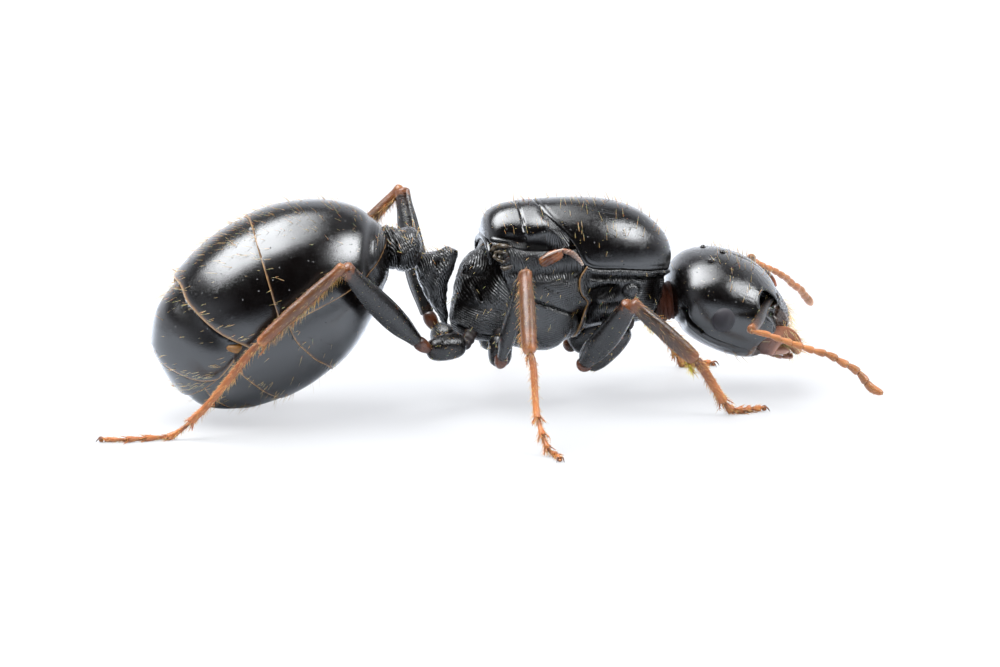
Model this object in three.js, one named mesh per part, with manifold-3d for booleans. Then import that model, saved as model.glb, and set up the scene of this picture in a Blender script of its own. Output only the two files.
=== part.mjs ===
// A harvester ant queen without her wings, life size, as a still museum model.
// Millimetres, +X towards the head, +Y towards the ant's left, +Z up, floor at z = 0.
import * as THREE from 'three';
import { mergeVertices } from 'three/addons/utils/BufferGeometryUtils.js';
import Module from 'manifold-3d';

// Driving dimensions
const seam = 0.05;                   // clear space between neighbouring plates
const bodyShift = [0.417, 0.097];    // brings the middle of the stance to the origin, x and y
const eyeHalfSizes = [0.27, 0.2, 0.29];
const headRoll = 0.14;               // the head leans to the ant's right, radians
const footWidth = 0.25;              // half thickness of a foot
const feelerWidth = 0.25;            // half thickness of an antenna
const trochanterWidth = 0.25;        // half thickness of the small joint between coxa and femur
const femurStartRoom = 0.22;         // length of femur taken up by the trochanter
const jointStartRoom = 0.02;         // a limb starts this far past its joint
const soleHeight = 0.15;             // height of a toe's middle over the floor
const beadCount = 11;                // joints in an antenna past its elbow
const tarsusJointEnds = [0.54, 0.68, 0.79, 0.88, 1]; // where a foot's five joints end, along its length
const cutReach = 20;                 // longer than the whole body, for the cutting prisms

const wasm = await Module();
wasm.setup();

// Finishes
const finish = (color, roughness) => new THREE.MeshStandardMaterial({ color, roughness, metalness: 0 });
const blackShell = finish('#101114', 0.22);
const dullShell = finish('#16171a', 0.5);
const eyeFacets = finish('#2b2f36', 0.45);
const jawHorn = finish('#5a2412', 0.35);
const neckSkin = finish('#4a1d12', 0.5);
const mouthSkin = finish('#8a6a58', 0.55);
const legShell = finish('#1c1a1a', 0.4);
const jointHorn = finish('#8a3c1c', 0.45);
const shinShell = finish('#5a4030', 0.5);
const footHorn = finish('#a8552a', 0.5);
const feelerHorn = finish('#a85e30', 0.5);
const scarSkin = finish('#94604a', 0.6);

const ant = new THREE.Group();

// ---- Skins over rings ----

// A closed skin over a row of equal rings, with a pole point before the first and after the last
function ringSkin(startPole, rings, endPole) {
  const sides = rings[0].length;
  const points = [startPole, ...rings.flat(), endPole];
  const faces = [];
  const last = points.length - 1;
  for (let side = 0; side < sides; side += 1) {
    const next = (side + 1) % sides;
    faces.push(0, 1 + next, 1 + side);
    faces.push(last, last - sides + side, last - sides + next);
    for (let ring = 0; ring + 1 < rings.length; ring += 1) {
      const low = 1 + ring * sides;
      const high = low + sides;
      faces.push(low + side, low + next, high + side);
      faces.push(high + side, low + next, high + next);
    }
  }
  const geometry = new THREE.BufferGeometry().setFromPoints(points);
  geometry.setIndex(faces);
  return outward(geometry);
}

// The same mesh with its faces turned outward, told by the sign of its volume
function outward(geometry) {
  const place = geometry.attributes.position;
  const index = geometry.index.array;
  const corner = [new THREE.Vector3(), new THREE.Vector3(), new THREE.Vector3()];
  let volume = 0;
  for (let at = 0; at < index.length; at += 3) {
    corner.forEach((point, turn) => point.fromBufferAttribute(place, index[at + turn]));
    volume += corner[0].dot(corner[1].cross(corner[2]));
  }
  if (volume < 0) {
    geometry.setIndex(Array.from(index).reverse());
  }
  return geometry;
}

// A value read smoothly along a short list, at a share of its length from 0 to 1
function along(values, share) {
  const curve = new THREE.SplineCurve(values.map((value, step) => new THREE.Vector2(step, value)));
  return curve.getPoint(share).y;
}

const signedPower = (value, power) => Math.sign(value) * Math.abs(value) ** power;

// A body between an upper and a lower edge drawn from the side: both edges share their ends, and
// each section joins equal shares of the two. The half widths run from end to end, and
// bluntness rounds the ends off in plan: 2 is an ellipse, more is squarer
function railSkin({ upper, lower, halfWidths, steps, sides, squareness = 1, bluntness = 2 }) {
  const edge = (points) => new THREE.CatmullRomCurve3(
    points.map(([x, z]) => new THREE.Vector3(x, 0, z)), false, 'centripetal');
  const top = edge(upper);
  const bottom = edge(lower);
  const start = top.getPointAt(0);
  const length = top.getPointAt(1).sub(start);
  const rings = [];
  for (let step = 1; step < steps; step += 1) {
    const share = (1 - Math.cos(Math.PI * step / steps)) / 2;
    const high = top.getPointAt(share);
    const low = bottom.getPointAt(share);
    const middle = high.clone().add(low).multiplyScalar(0.5);
    const rise = high.clone().sub(middle);
    const past = middle.clone().sub(start);
    const reach = THREE.MathUtils.clamp(past.dot(length) / length.lengthSq(), 0.003, 0.997);
    const taper = (1 - Math.abs(2 * reach - 1) ** bluntness) ** (1 / bluntness);
    const width = along(halfWidths, reach) * taper;
    const ring = [];
    for (let side = 0; side < sides; side += 1) {
      const turn = 2 * Math.PI * side / sides;
      const point = middle.clone().addScaledVector(rise, signedPower(Math.cos(turn), squareness));
      point.y = width * signedPower(Math.sin(turn), squareness);
      ring.push(point);
    }
    rings.push(ring);
  }
  return ringSkin(start, rings, top.getPointAt(1));
}

// A tube along a smooth path: each station is [share of the path, half thickness],
// and flatness scales the thickness across the plane that the path bends in
function pathSkin(points, stations, { sides = 7, flatness = 1, across = new THREE.Vector3(0, 1, 0) } = {}) {
  const knots = points.map((point) => new THREE.Vector3(...point));
  const curve = new THREE.CatmullRomCurve3(knots, false, 'centripetal');
  const rings = stations.map(([share, radius]) => {
    const middle = curve.getPointAt(share);
    const ahead = curve.getTangentAt(share);
    const rise = across.clone().cross(ahead).normalize();
    const sideways = ahead.clone().cross(rise).normalize();
    const ring = [];
    for (let side = 0; side < sides; side += 1) {
      const turn = 2 * Math.PI * (side + 0.5) / sides;
      const point = middle.clone().addScaledVector(rise, radius * Math.cos(turn));
      point.addScaledVector(sideways, radius * flatness * Math.sin(turn));
      ring.push(point);
    }
    return ring;
  });
  return ringSkin(curve.getPointAt(0), rings, curve.getPointAt(1));
}

// An egg shape round a centre
function egg(centre, halfSizes, sides = 12) {
  const rings = [];
  const layers = sides / 2;
  for (let layer = 1; layer < layers; layer += 1) {
    const tilt = Math.PI * layer / layers;
    const ring = [];
    for (let side = 0; side < sides; side += 1) {
      const turn = 2 * Math.PI * side / sides;
      ring.push(new THREE.Vector3(
        centre[0] + halfSizes[0] * Math.sin(tilt) * Math.cos(turn),
        centre[1] - halfSizes[1] * Math.cos(tilt),
        centre[2] + halfSizes[2] * Math.sin(tilt) * Math.sin(turn)));
    }
    rings.push(ring);
  }
  const pole = (way) => new THREE.Vector3(centre[0], centre[1] + way * halfSizes[1], centre[2]);
  return ringSkin(pole(-1), rings, pole(1));
}

// ---- Cuts ----

// A closed mesh as a solid that can be cut
function solid(geometry) {
  return new wasm.Manifold(new wasm.Mesh({
    numProp: 3,
    vertProperties: geometry.attributes.position.array,
    triVerts: Uint32Array.from(geometry.index.array),
  }));
}

// A cut solid as a mesh again
function meshOf(cutSolid) {
  const mesh = cutSolid.getMesh();
  const geometry = new THREE.BufferGeometry();
  geometry.setAttribute('position', new THREE.BufferAttribute(Float32Array.from(mesh.vertProperties), 3));
  geometry.setIndex(Array.from(mesh.triVerts));
  return geometry;
}

// The same mesh with every point moved out along its normal
function grown(geometry, distance = seam) {
  const copy = geometry.clone();
  copy.computeVertexNormals();
  const place = copy.attributes.position;
  const normal = copy.attributes.normal;
  for (let at = 0; at < place.count; at += 1) {
    place.setXYZ(at,
      place.getX(at) + distance * normal.getX(at),
      place.getY(at) + distance * normal.getY(at),
      place.getZ(at) + distance * normal.getZ(at));
  }
  copy.deleteAttribute('normal');
  return copy;
}

// A mesh with the seam's room cut out of it round each neighbour
const clearOf = (geometry, ...neighbours) => meshOf(neighbours.reduce(
  (rest, neighbour) => rest.subtract(solid(grown(neighbour))), solid(geometry)));

// The first point carried on, away from the second one
function prolonged(end, inner) {
  const away = end.clone().sub(inner).normalize();
  return end.clone().addScaledVector(away, cutReach);
}

// Everything on one side of a line drawn from the side, half a seam away from it
function beyond(line, heading) {
  const way = new THREE.Vector2(...heading).normalize();
  const points = line.map(([x, z]) => new THREE.Vector2(x, z));
  points.unshift(prolonged(points[0], points[1]));
  points.push(prolonged(points.at(-1), points.at(-2)));
  const near = points.map((point) => point.clone().addScaledVector(way, seam / 2));
  const far = points.map((point) => point.clone().addScaledVector(way, 2 * cutReach));
  const outline = new THREE.Shape([...near, ...far.reverse()]);
  const prism = new THREE.ExtrudeGeometry(outline, { depth: 2 * cutReach, bevelEnabled: false });
  prism.deleteAttribute('normal');
  prism.deleteAttribute('uv');
  prism.rotateX(Math.PI / 2);
  prism.translate(0, cutReach, 0);
  return solid(mergeVertices(prism));
}

// The part of a body that lies inside all the given sides
const within = (body, ...sides) => meshOf(sides.reduce((rest, side) => rest.intersect(side), solid(body)));

// A copy on the ant's other side
function mirrored(geometry) {
  const copy = geometry.clone();
  const place = copy.attributes.position;
  for (let at = 0; at < place.count; at += 1) {
    place.setY(at, -place.getY(at));
  }
  copy.setIndex(Array.from(copy.index.array).reverse());
  return copy;
}

// ---- Naming ----

function addPart(name, geometry, material, parent = ant) {
  const mesh = new THREE.Mesh(geometry, material);
  mesh.name = name;
  parent.add(mesh);
  return mesh;
}

// ---- Legs ----

// Joint places of each leg; y is the distance from the middle line, on the side that way points to.
// Widths are half thicknesses
const legs = {
  fore_right: {
    way: -1,
    hip: [2.95, 0.62, 1.95],
    coxaEnd: [1.86, 0.92, 1.04],
    femurStart: [1.66, 1.05, 0.94],
    knee: [2.65, 2.4, 2.85],
    ankle: [4.2, 2.5, 1.4],
    heel: [4.95, 2.35, 0.3],
    ball: [5.3, 2.25, soleHeight],
    toe: [5.9, 2.15, soleHeight],
    coxaWidth: 0.41,
    femurWidth: 0.31,
    tibiaWidth: 0.26,
  },
  fore_left: {
    way: 1,
    hip: [2.95, 0.62, 1.95],
    coxaEnd: [1.98, 0.92, 1.06],
    femurStart: [1.78, 1.08, 0.96],
    knee: [2.85, 2.35, 2.8],
    ankle: [4.35, 2.6, 1.35],
    heel: [5.02, 2.68, 0.3],
    ball: [5.35, 2.7, soleHeight],
    toe: [5.85, 2.78, soleHeight],
    coxaWidth: 0.41,
    femurWidth: 0.31,
    tibiaWidth: 0.26,
  },
  mid_right: {
    way: -1,
    hip: [-0.12, 0.6, 1.82],
    coxaEnd: [-0.28, 1.05, 1.2],
    femurStart: [-0.26, 1.25, 1.2],
    knee: [0.07, 2.5, 3.72],
    ankle: [-0.15, 4.0, 2.12],
    heel: [-0.1, 5.1, 0.42],
    ball: [0.1, 5.4, soleHeight],
    toe: [0.33, 5.72, soleHeight],
    coxaWidth: 0.32,
    femurWidth: 0.26,
    tibiaWidth: 0.26,
  },
  mid_left: {
    way: 1,
    hip: [-0.12, 0.6, 1.82],
    coxaEnd: [-0.1, 1.05, 1.2],
    femurStart: [0.0, 1.25, 1.2],
    knee: [0.5, 2.7, 3.7],
    ankle: [0.88, 4.0, 2.1],
    heel: [1.0, 4.95, 0.35],
    ball: [1.05, 5.2, soleHeight],
    toe: [1.12, 5.62, soleHeight],
    coxaWidth: 0.32,
    femurWidth: 0.26,
    tibiaWidth: 0.26,
  },
  hind_right: {
    way: -1,
    hip: [-0.98, 0.58, 1.62],
    coxaEnd: [-1.92, 0.95, 1.6],
    femurStart: [-2.18, 1.05, 1.7],
    knee: [-4.24, 2.5, 4.05],
    ankle: [-6.22, 2.4, 2.28],
    heel: [-7.85, 2.0, 0.32],
    ball: [-8.45, 1.95, soleHeight],
    toe: [-9.85, 2.05, soleHeight],
    coxaWidth: 0.33,
    femurWidth: 0.28,
    tibiaWidth: 0.25,
  },
  hind_left: {
    way: 1,
    hip: [-0.92, 0.58, 1.62],
    coxaEnd: [-1.46, 0.95, 1.52],
    femurStart: [-1.58, 1.15, 1.82],
    knee: [-1.8, 3.0, 4.72],
    ankle: [-3.6, 3.45, 2.75],
    heel: [-5.0, 3.85, 0.5],
    ball: [-5.5, 3.92, soleHeight],
    toe: [-6.9, 4.05, soleHeight],
    coxaWidth: 0.33,
    femurWidth: 0.28,
    tibiaWidth: 0.25,
  },
};

// Half thickness along each kind of limb, as shares of its greatest
const coxaForm = [[0.03, 0.45], [0.15, 0.85], [0.4, 1], [0.7, 0.95], [0.92, 0.72], [0.985, 0.4]];
const trochanterForm = [[0.06, 0.6], [0.45, 1], [0.92, 0.7]];
const femurForm = [[0.01, 0.5], [0.08, 0.66], [0.25, 0.94], [0.45, 1], [0.7, 0.86], [0.95, 0.74],
  [0.99, 0.4]];
const tibiaForm = [[0.01, 0.55], [0.07, 0.85], [0.4, 1], [0.96, 0.95], [0.99, 0.6]];

const shares = (form, thickness) => form.map(([share, part]) => [share, part * thickness]);

// The straight stretch from one joint to the next, with some room left free at its start
function stretch(from, to, free) {
  const start = new THREE.Vector3(...from);
  const end = new THREE.Vector3(...to);
  start.addScaledVector(end.clone().sub(start).normalize(), free);
  return [start.toArray(), end.toArray()];
}

// A foot: a long first joint, then four short ones, each widest near its end,
// and a flat sole cut at the floor
function footSkin(ankle, toes, across) {
  const stations = [[0.005, 0.5]];
  let start = jointStartRoom;
  tarsusJointEnds.forEach((end) => {
    const narrow = (end - start) * 0.12;
    stations.push([start + narrow, 0.8], [end - 1.4 * narrow, 1]);
    start = end;
  });
  const path = [...stretch(ankle, toes[0], jointStartRoom), ...toes.slice(1)];
  const skin = pathSkin(path, shares(stations, footWidth), { sides: 6, across });
  const floorLine = [[-1, -seam / 2], [1, -seam / 2]];
  return within(skin, beyond(floorLine, [0, 1]));
}

// The direction that a leg's knee turns about
function kneeAxis(femurStart, knee, ankle) {
  const thigh = new THREE.Vector3(...knee).sub(new THREE.Vector3(...femurStart));
  const shin = new THREE.Vector3(...ankle).sub(new THREE.Vector3(...knee));
  return thigh.cross(shin).normalize();
}

const coxae = [];
for (const [name, leg] of Object.entries(legs)) {
  const placed = ([x, y, z]) => [x, leg.way * y, z];
  const [hip, coxaEnd, femurStart] = [leg.hip, leg.coxaEnd, leg.femurStart].map(placed);
  const [knee, ankle] = [leg.knee, leg.ankle].map(placed);
  const toes = [leg.heel, leg.ball, leg.toe].map(placed);
  const across = kneeAxis(femurStart, knee, ankle);
  const femurPath = stretch(femurStart, knee, femurStartRoom);
  const coxa = pathSkin([hip, coxaEnd], shares(coxaForm, leg.coxaWidth));
  const trochanter = pathSkin(stretch(coxaEnd, femurPath[0], jointStartRoom),
    shares(trochanterForm, trochanterWidth), { sides: 6 });
  const femur = pathSkin(femurPath, shares(femurForm, leg.femurWidth), { across, flatness: 0.9 });
  const tibia = pathSkin(stretch(knee, ankle, jointStartRoom), shares(tibiaForm, leg.tibiaWidth),
    { sides: 6, across, flatness: 0.95 });
  coxae.push(coxa);
  addPart(`coxa_${name}`, coxa, legShell);
  addPart(`trochanter_${name}`, clearOf(trochanter, coxa, femur), jointHorn);
  addPart(`femur_${name}`, clearOf(femur, coxa), legShell);
  addPart(`tibia_${name}`, clearOf(tibia, femur), shinShell);
  addPart(`tarsus_${name}`, clearOf(footSkin(ankle, toes, across), tibia), footHorn);
}

// ---- Waist ----

const petiole = railSkin({
  upper: [[-1.3, 1.95], [-1.27, 2.15], [-1.3, 2.46], [-1.3, 2.82], [-1.2, 3.18], [-1.08, 3.49],
    [-1.03, 3.72], [-1.1, 3.82], [-1.3, 3.86]],
  lower: [[-1.3, 1.95], [-1.42, 2.05], [-1.7, 2.48], [-1.88, 2.85], [-2.02, 3.22], [-2.0, 3.54],
    [-1.85, 3.72], [-1.55, 3.76], [-1.3, 3.86]],
  halfWidths: [0.28, 0.3, 0.33, 0.42, 0.5],
  steps: 10,
  sides: 10,
});
const postpetiole = railSkin({
  upper: [[-2.88, 4.0], [-2.88, 4.35], [-2.75, 4.48], [-2.6, 4.42], [-2.37, 4.32], [-2.17, 4.38],
    [-1.98, 4.22], [-1.9, 3.9], [-1.92, 3.72]],
  lower: [[-2.88, 4.0], [-2.85, 3.55], [-2.54, 3.36], [-2.3, 3.35], [-2.08, 3.42], [-1.96, 3.56],
    [-1.92, 3.72]],
  halfWidths: [0.5, 0.62, 0.66, 0.62, 0.5],
  steps: 8,
  sides: 10,
});
addPart('petiole', clearOf(petiole, postpetiole), dullShell);
addPart('postpetiole', postpetiole, dullShell);

// ---- Trunk: one body parted by its sutures ----

const trunk = railSkin({
  upper: [[-1.22, 2.15], [-1.17, 2.6], [-1.05, 3.2], [-0.82, 3.6], [-0.5, 3.85], [-0.42, 4.15],
    [-0.4, 4.45], [-0.19, 4.71], [0.36, 4.88], [1.16, 4.93], [1.94, 4.92], [2.8, 4.8], [3.48, 4.5],
    [3.96, 4.05], [4.15, 3.6], [4.06, 3.28], [3.9, 3.07], [3.94, 2.7], [3.9, 2.35]],
  lower: [[-1.22, 2.15], [-1.12, 1.8], [-0.73, 1.62], [-0.19, 1.53], [0.44, 1.36], [1.1, 1.28],
    [1.5, 1.47], [1.95, 1.75], [2.5, 1.84], [3.2, 1.84], [3.67, 2.0], [3.9, 2.35]],
  halfWidths: [0.85, 0.98, 1.16, 1.27, 1.28, 1.22, 1.12],
  steps: 18,
  sides: 16,
  squareness: 0.9,
  bluntness: 3.2,
});
const scutumLine = [[0.6, 5.4], [0.82, 4.93], [0.99, 4.67], [1.21, 4.44], [1.55, 4.04],
  [1.81, 3.53], [2.77, 3.38], [3.71, 3.24], [4.6, 3.1]];
const scutellumLine = [[-1.4, 4.1], [-0.47, 4.13], [-0.1, 4.08], [0.2, 3.95], [0.7, 3.9],
  [1.8, 3.95]];
const propodeumLine = [[-0.7, 4.4], [-0.33, 3.9], [-0.2, 3.45], [0.06, 2.76], [0.15, 1.98],
  [0.12, 0.9]];
const pronotumLine = [[2.2, 3.9], [1.81, 3.5], [1.64, 3.2], [1.7, 2.85], [1.88, 2.61], [1.77, 2.24],
  [1.6, 1.0]];
const aboveScutum = beyond(scutumLine, [0.7, 0.7]);
const belowScutum = beyond(scutumLine, [-0.7, -0.7]);
const aboveScutellum = beyond(scutellumLine, [0, 1]);
const belowScutellum = beyond(scutellumLine, [0, -1]);

const rightWingStump = pathSkin([[0.7, -1.2, 3.68], [1.2, -1.33, 3.94], [1.68, -1.28, 3.62]],
  [[0.02, 0.1], [0.2, 0.2], [0.5, 0.17], [0.8, 0.12], [0.98, 0.08]]);
const wingStumps = [rightWingStump, mirrored(rightWingStump)];
const neck = pathSkin([[3.6, 0, 2.22], [4.4, 0, 2.36]],
  [[0.02, 0.3], [0.12, 0.48], [0.88, 0.44], [0.98, 0.3]], { sides: 10 });
addPart('neck', neck, neckSkin);

addPart('mesoscutum', clearOf(within(trunk, aboveScutum), ...wingStumps), blackShell);
addPart('scutellum', clearOf(within(trunk, belowScutum, aboveScutellum), ...wingStumps), blackShell);
const trunkBelow = within(trunk, belowScutum, belowScutellum);
const propodeum = within(trunkBelow, beyond(propodeumLine, [-1, 0]));
addPart('propodeum', clearOf(propodeum, petiole, ...coxae), dullShell);
const mesopleuron = within(trunkBelow, beyond(propodeumLine, [1, 0]), beyond(pronotumLine, [-1, 0]));
addPart('mesopleuron', clearOf(mesopleuron, ...coxae, ...wingStumps), dullShell);
const pronotum = within(trunkBelow, beyond(pronotumLine, [1, 0]));
addPart('pronotum', clearOf(pronotum, neck, ...coxae, ...wingStumps), dullShell);
addPart('wing_stump_right', wingStumps[0], scarSkin);
addPart('wing_stump_left', wingStumps[1], scarSkin);

// ---- Gaster: one body parted into the plates of its back and belly ----

const gaster = railSkin({
  upper: [[-2.7, 4.0], [-2.8, 4.4], [-3.13, 4.76], [-3.61, 5.0], [-4.21, 5.12], [-5.04, 5.1],
    [-5.99, 4.84], [-6.95, 4.28], [-7.67, 3.6], [-8.12, 2.93], [-8.34, 2.3], [-8.38, 1.85]],
  lower: [[-2.7, 4.0], [-2.7, 3.45], [-2.85, 2.84], [-3.17, 2.23], [-3.65, 1.5], [-4.38, 0.9],
    [-5.32, 0.43], [-6.28, 0.22], [-7.0, 0.24], [-7.7, 0.62], [-8.2, 1.3], [-8.38, 1.85]],
  halfWidths: [1.9, 1.98, 2.0, 1.95, 1.8],
  steps: 14,
  sides: 18,
  bluntness: 2.1,
});
const flankLine = [[-2.0, 3.7], [-2.9, 3.3], [-3.97, 3.03], [-4.73, 2.75], [-5.5, 2.66],
  [-6.0, 2.15], [-6.4, 1.9], [-6.87, 1.33], [-7.42, 1.21], [-9, 1.2]];
const backLines = [
  [[-5.9, 6], [-6.12, 4.9], [-6.2, 4.5], [-6.02, 3.79], [-5.7, 2.8], [-5.3, 1.6]],
  [[-8.8, 3.5], [-7.81, 3.43], [-7.7, 3.1], [-7.46, 2.79], [-7.03, 2.41], [-6.39, 2.09], [-5.3, 1.6]],
  [[-9.2, 2.3], [-8.23, 2.28], [-7.88, 2.13], [-7.4, 2.12], [-6.8, 1.95], [-6.2, 1.6]],
];
const bellyLines = [
  [[-5.5, 3.2], [-5.2, 2.5], [-5.0, 2.0], [-4.75, 1.65], [-4.3, 1.3], [-3.6, 0.2]],
  [[-7.0, 2.3], [-6.61, 1.67], [-6.35, 1.3], [-5.95, 0.95], [-5.2, 0.36], [-4.8, -0.2]],
  [[-7.7, 1.6], [-7.3, 1.1], [-7.0, 0.76], [-6.5, 0.42], [-6.04, 0.18], [-5.6, -0.3]],
];
const gasterBody = clearOf(gaster, postpetiole);

// Plates in a row, each between one line and the next, front to tail
function addPlates(name, half, lines, frontward, rearward) {
  for (let plate = 0; plate <= lines.length; plate += 1) {
    const sides = [half];
    if (plate > 0) {
      sides.push(beyond(lines[plate - 1], rearward));
    }
    if (plate < lines.length) {
      sides.push(beyond(lines[plate], frontward));
    }
    addPart(`${name}_${plate + 1}`, within(gasterBody, ...sides), blackShell);
  }
}
addPlates('gaster_tergite', beyond(flankLine, [0.3, 1]), backLines, [0.8, 0.6], [-0.8, -0.6]);
addPlates('gaster_sternite', beyond(flankLine, [-0.3, -1]), bellyLines, [0.9, 0.45], [-0.9, -0.45]);

// ---- Head: its pieces share one group that leans about the head's own length ----

const headPivot = new THREE.Vector3(5.3, 0, 2.25);
const headAxis = new THREE.Vector3(0.94, 0, -0.34).normalize();
const headLean = new THREE.Group();
headLean.position.copy(headPivot);
headLean.quaternion.setFromAxisAngle(headAxis, headRoll);
const head = new THREE.Group();
head.position.copy(headPivot).negate();
headLean.add(head);
ant.add(headLean);

const capsule = railSkin({
  upper: [[4.12, 2.55], [4.15, 2.89], [4.28, 3.19], [4.55, 3.41], [4.89, 3.5], [5.38, 3.5],
    [5.93, 3.32], [6.3, 3.09], [6.6, 2.8], [6.78, 2.45], [6.95, 2.12], [7.02, 1.92], [6.95, 1.75]],
  lower: [[4.12, 2.55], [4.15, 2.13], [4.29, 1.8], [4.56, 1.52], [5.03, 1.23], [5.61, 1.0],
    [6.03, 0.95], [6.25, 1.02], [6.4, 1.25], [6.7, 1.55], [6.95, 1.75]],
  halfWidths: [1.4, 1.47, 1.5, 1.46, 1.3],
  steps: 14,
  sides: 16,
  squareness: 0.92,
  bluntness: 3.3,
});
const rightEye = egg([5.2, -1.33, 2.3], eyeHalfSizes, 10);
const eyes = [rightEye, mirrored(rightEye)];
const jawBend = [[6.42, -0.92, 1.35], [6.78, -0.95, 1.3], [7.05, -0.62, 1.28], [7.1, -0.1, 1.3]];
const rightJaw = pathSkin(jawBend,
  [[0.03, 0.2], [0.25, 0.33], [0.6, 0.35], [0.9, 0.3], [0.98, 0.2]],
  { sides: 8, flatness: 0.45, across: new THREE.Vector3(-0.6, -0.8, 0) });
const jaws = [rightJaw, mirrored(rightJaw)];
const scapeStations = [[0.01, 0.6], [0.06, 0.85], [0.3, 0.9], [0.6, 0.95], [0.9, 1], [0.98, 0.7]];
const feelers = {
  right: { scape: [[6.5, -0.62, 2.42], [6.1, -1.5, 2.3], [5.55, -2.35, 2.04]],
    funicle: [[5.55, -2.35, 2.04], [6.7, -2.55, 1.66], [7.86, -2.8, 1.18], [8.56, -3.0, 0.42]] },
  left: { scape: [[6.62, 0.62, 2.36], [6.7, 1.5, 2.62], [6.6, 2.3, 2.7]],
    funicle: [[6.6, 2.3, 2.7], [7.6, 2.95, 2.2], [8.35, 3.65, 1.62], [8.85, 4.3, 1.05]] },
};
const lips = pathSkin([[6.2, 0, 1.02], [6.75, 0, 0.96], [7.2, 0, 0.88]],
  [[0.02, 0.2], [0.2, 0.27], [0.9, 0.25], [0.985, 0.15]], { sides: 8, flatness: 1.9 });

// The antennae and neck keep the ant's own frame, since their far ends are placed in it
function funicleStations() {
  const stations = [];
  for (let bead = 0; bead < beadCount; bead += 1) {
    const start = bead / beadCount;
    const swell = 0.84 + 0.16 * bead / (beadCount - 1);
    stations.push([start + 0.012, 0.78 * swell], [start + 0.06, swell]);
  }
  stations.push([0.992, 0.5]);
  return shares(stations, feelerWidth);
}

const scapes = {};
for (const [side, { scape, funicle }] of Object.entries(feelers)) {
  scapes[side] = pathSkin(scape, shares(scapeStations, feelerWidth));
  const path = [...stretch(funicle[0], funicle[1], 0.1), ...funicle.slice(2)];
  addPart(`scape_${side}`, scapes[side], legShell);
  const beads = pathSkin(path, funicleStations(), { sides: 6 });
  addPart(`funicle_${side}`, clearOf(beads, scapes[side]), feelerHorn);
}

// From the ant's frame into the leaning head's own
ant.updateMatrixWorld(true);
const intoHead = head.matrixWorld.clone().invert();
const headRoots = [neck, ...Object.values(scapes)].map(
  (geometry) => geometry.clone().applyMatrix4(intoHead));
addPart('head_capsule', clearOf(capsule, ...eyes, ...jaws, lips, ...headRoots), blackShell, head);
addPart('eye_right', eyes[0], eyeFacets, head);
addPart('eye_left', eyes[1], eyeFacets, head);
addPart('mandible_right', jaws[0], jawHorn, head);
addPart('mandible_left', jaws[1], jawHorn, head);
addPart('mouthparts', clearOf(lips, ...jaws), mouthSkin, head);

// ---- Stance: the middle of the ant's length and width over the origin ----

const stance = new THREE.Group();
stance.position.set(bodyShift[0], bodyShift[1], 0);
stance.add(ant);

export default stance;
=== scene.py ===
import bpy
import numpy as np
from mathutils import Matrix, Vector


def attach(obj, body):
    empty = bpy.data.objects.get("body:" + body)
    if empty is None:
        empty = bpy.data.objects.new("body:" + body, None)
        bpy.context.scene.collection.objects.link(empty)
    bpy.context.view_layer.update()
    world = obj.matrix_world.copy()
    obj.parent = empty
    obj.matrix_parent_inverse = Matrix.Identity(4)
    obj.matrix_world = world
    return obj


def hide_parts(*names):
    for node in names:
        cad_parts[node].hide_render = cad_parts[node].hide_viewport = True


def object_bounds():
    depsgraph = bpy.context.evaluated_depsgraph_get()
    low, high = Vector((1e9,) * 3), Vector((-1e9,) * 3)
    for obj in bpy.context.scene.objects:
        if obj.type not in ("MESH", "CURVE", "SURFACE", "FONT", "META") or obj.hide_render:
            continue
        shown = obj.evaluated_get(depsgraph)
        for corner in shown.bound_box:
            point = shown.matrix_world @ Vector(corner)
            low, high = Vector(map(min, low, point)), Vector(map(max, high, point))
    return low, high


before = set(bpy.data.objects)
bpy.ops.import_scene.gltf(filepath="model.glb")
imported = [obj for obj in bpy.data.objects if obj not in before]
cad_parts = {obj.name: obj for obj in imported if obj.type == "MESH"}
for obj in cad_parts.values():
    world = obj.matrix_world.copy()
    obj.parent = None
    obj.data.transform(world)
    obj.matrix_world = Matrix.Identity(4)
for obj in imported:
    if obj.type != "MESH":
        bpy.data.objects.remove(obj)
cadLow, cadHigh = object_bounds()

# Every number below is in millimetres in the ant's own frame: +x to the head, +y to her left,
# z over the floor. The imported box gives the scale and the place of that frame.
stance = {"length": 18.867, "middle": (-0.417, -0.097)}
mm = (cadHigh[0] - cadLow[0]) / stance["length"]
stanceMiddle = np.array([*stance["middle"], 0.0])
sceneMiddle = np.array([(cadLow[0] + cadHigh[0]) / 2, (cadLow[1] + cadHigh[1]) / 2, cadLow[2]])


def toScene(points):
    return (np.asarray(points, float) - stanceMiddle) * mm + sceneMiddle


def fromScene(points):
    return (np.asarray(points, float) - sceneMiddle) / mm + stanceMiddle


# Camera and light

view = {"aim": (0.0, 0.0, 1.7), "turn": -12.0, "rise": 13.0, "distance": 130.0, "lens": 196.56}


def directionOf(turn, rise):
    # The way from the aim to a place seen at a turn to the right and a rise over the floor
    turn, rise = np.radians(turn), np.radians(rise)
    return np.array([np.sin(turn) * np.cos(rise), -np.cos(turn) * np.cos(rise), np.sin(rise)])


def aimed(thing, place, aim):
    # Puts a camera or a lamp at a place, looking at the aim
    thing.location = toScene(place)
    way = Vector(toScene(aim) - toScene(place))
    thing.rotation_euler = way.to_track_quat("-Z", "Y").to_euler()
    bpy.context.scene.collection.objects.link(thing)
    return thing


lens = bpy.data.cameras.new("camera")
lens.lens = view["lens"]
lens.sensor_width = 36
lens.clip_start = 0.001
lens.clip_end = 20
aim = np.array(view["aim"])
cameraPlace = aim + view["distance"] * directionOf(view["turn"], view["rise"])
bpy.context.scene.camera = aimed(bpy.data.objects.new("camera", lens), cameraPlace, aim)

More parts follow.
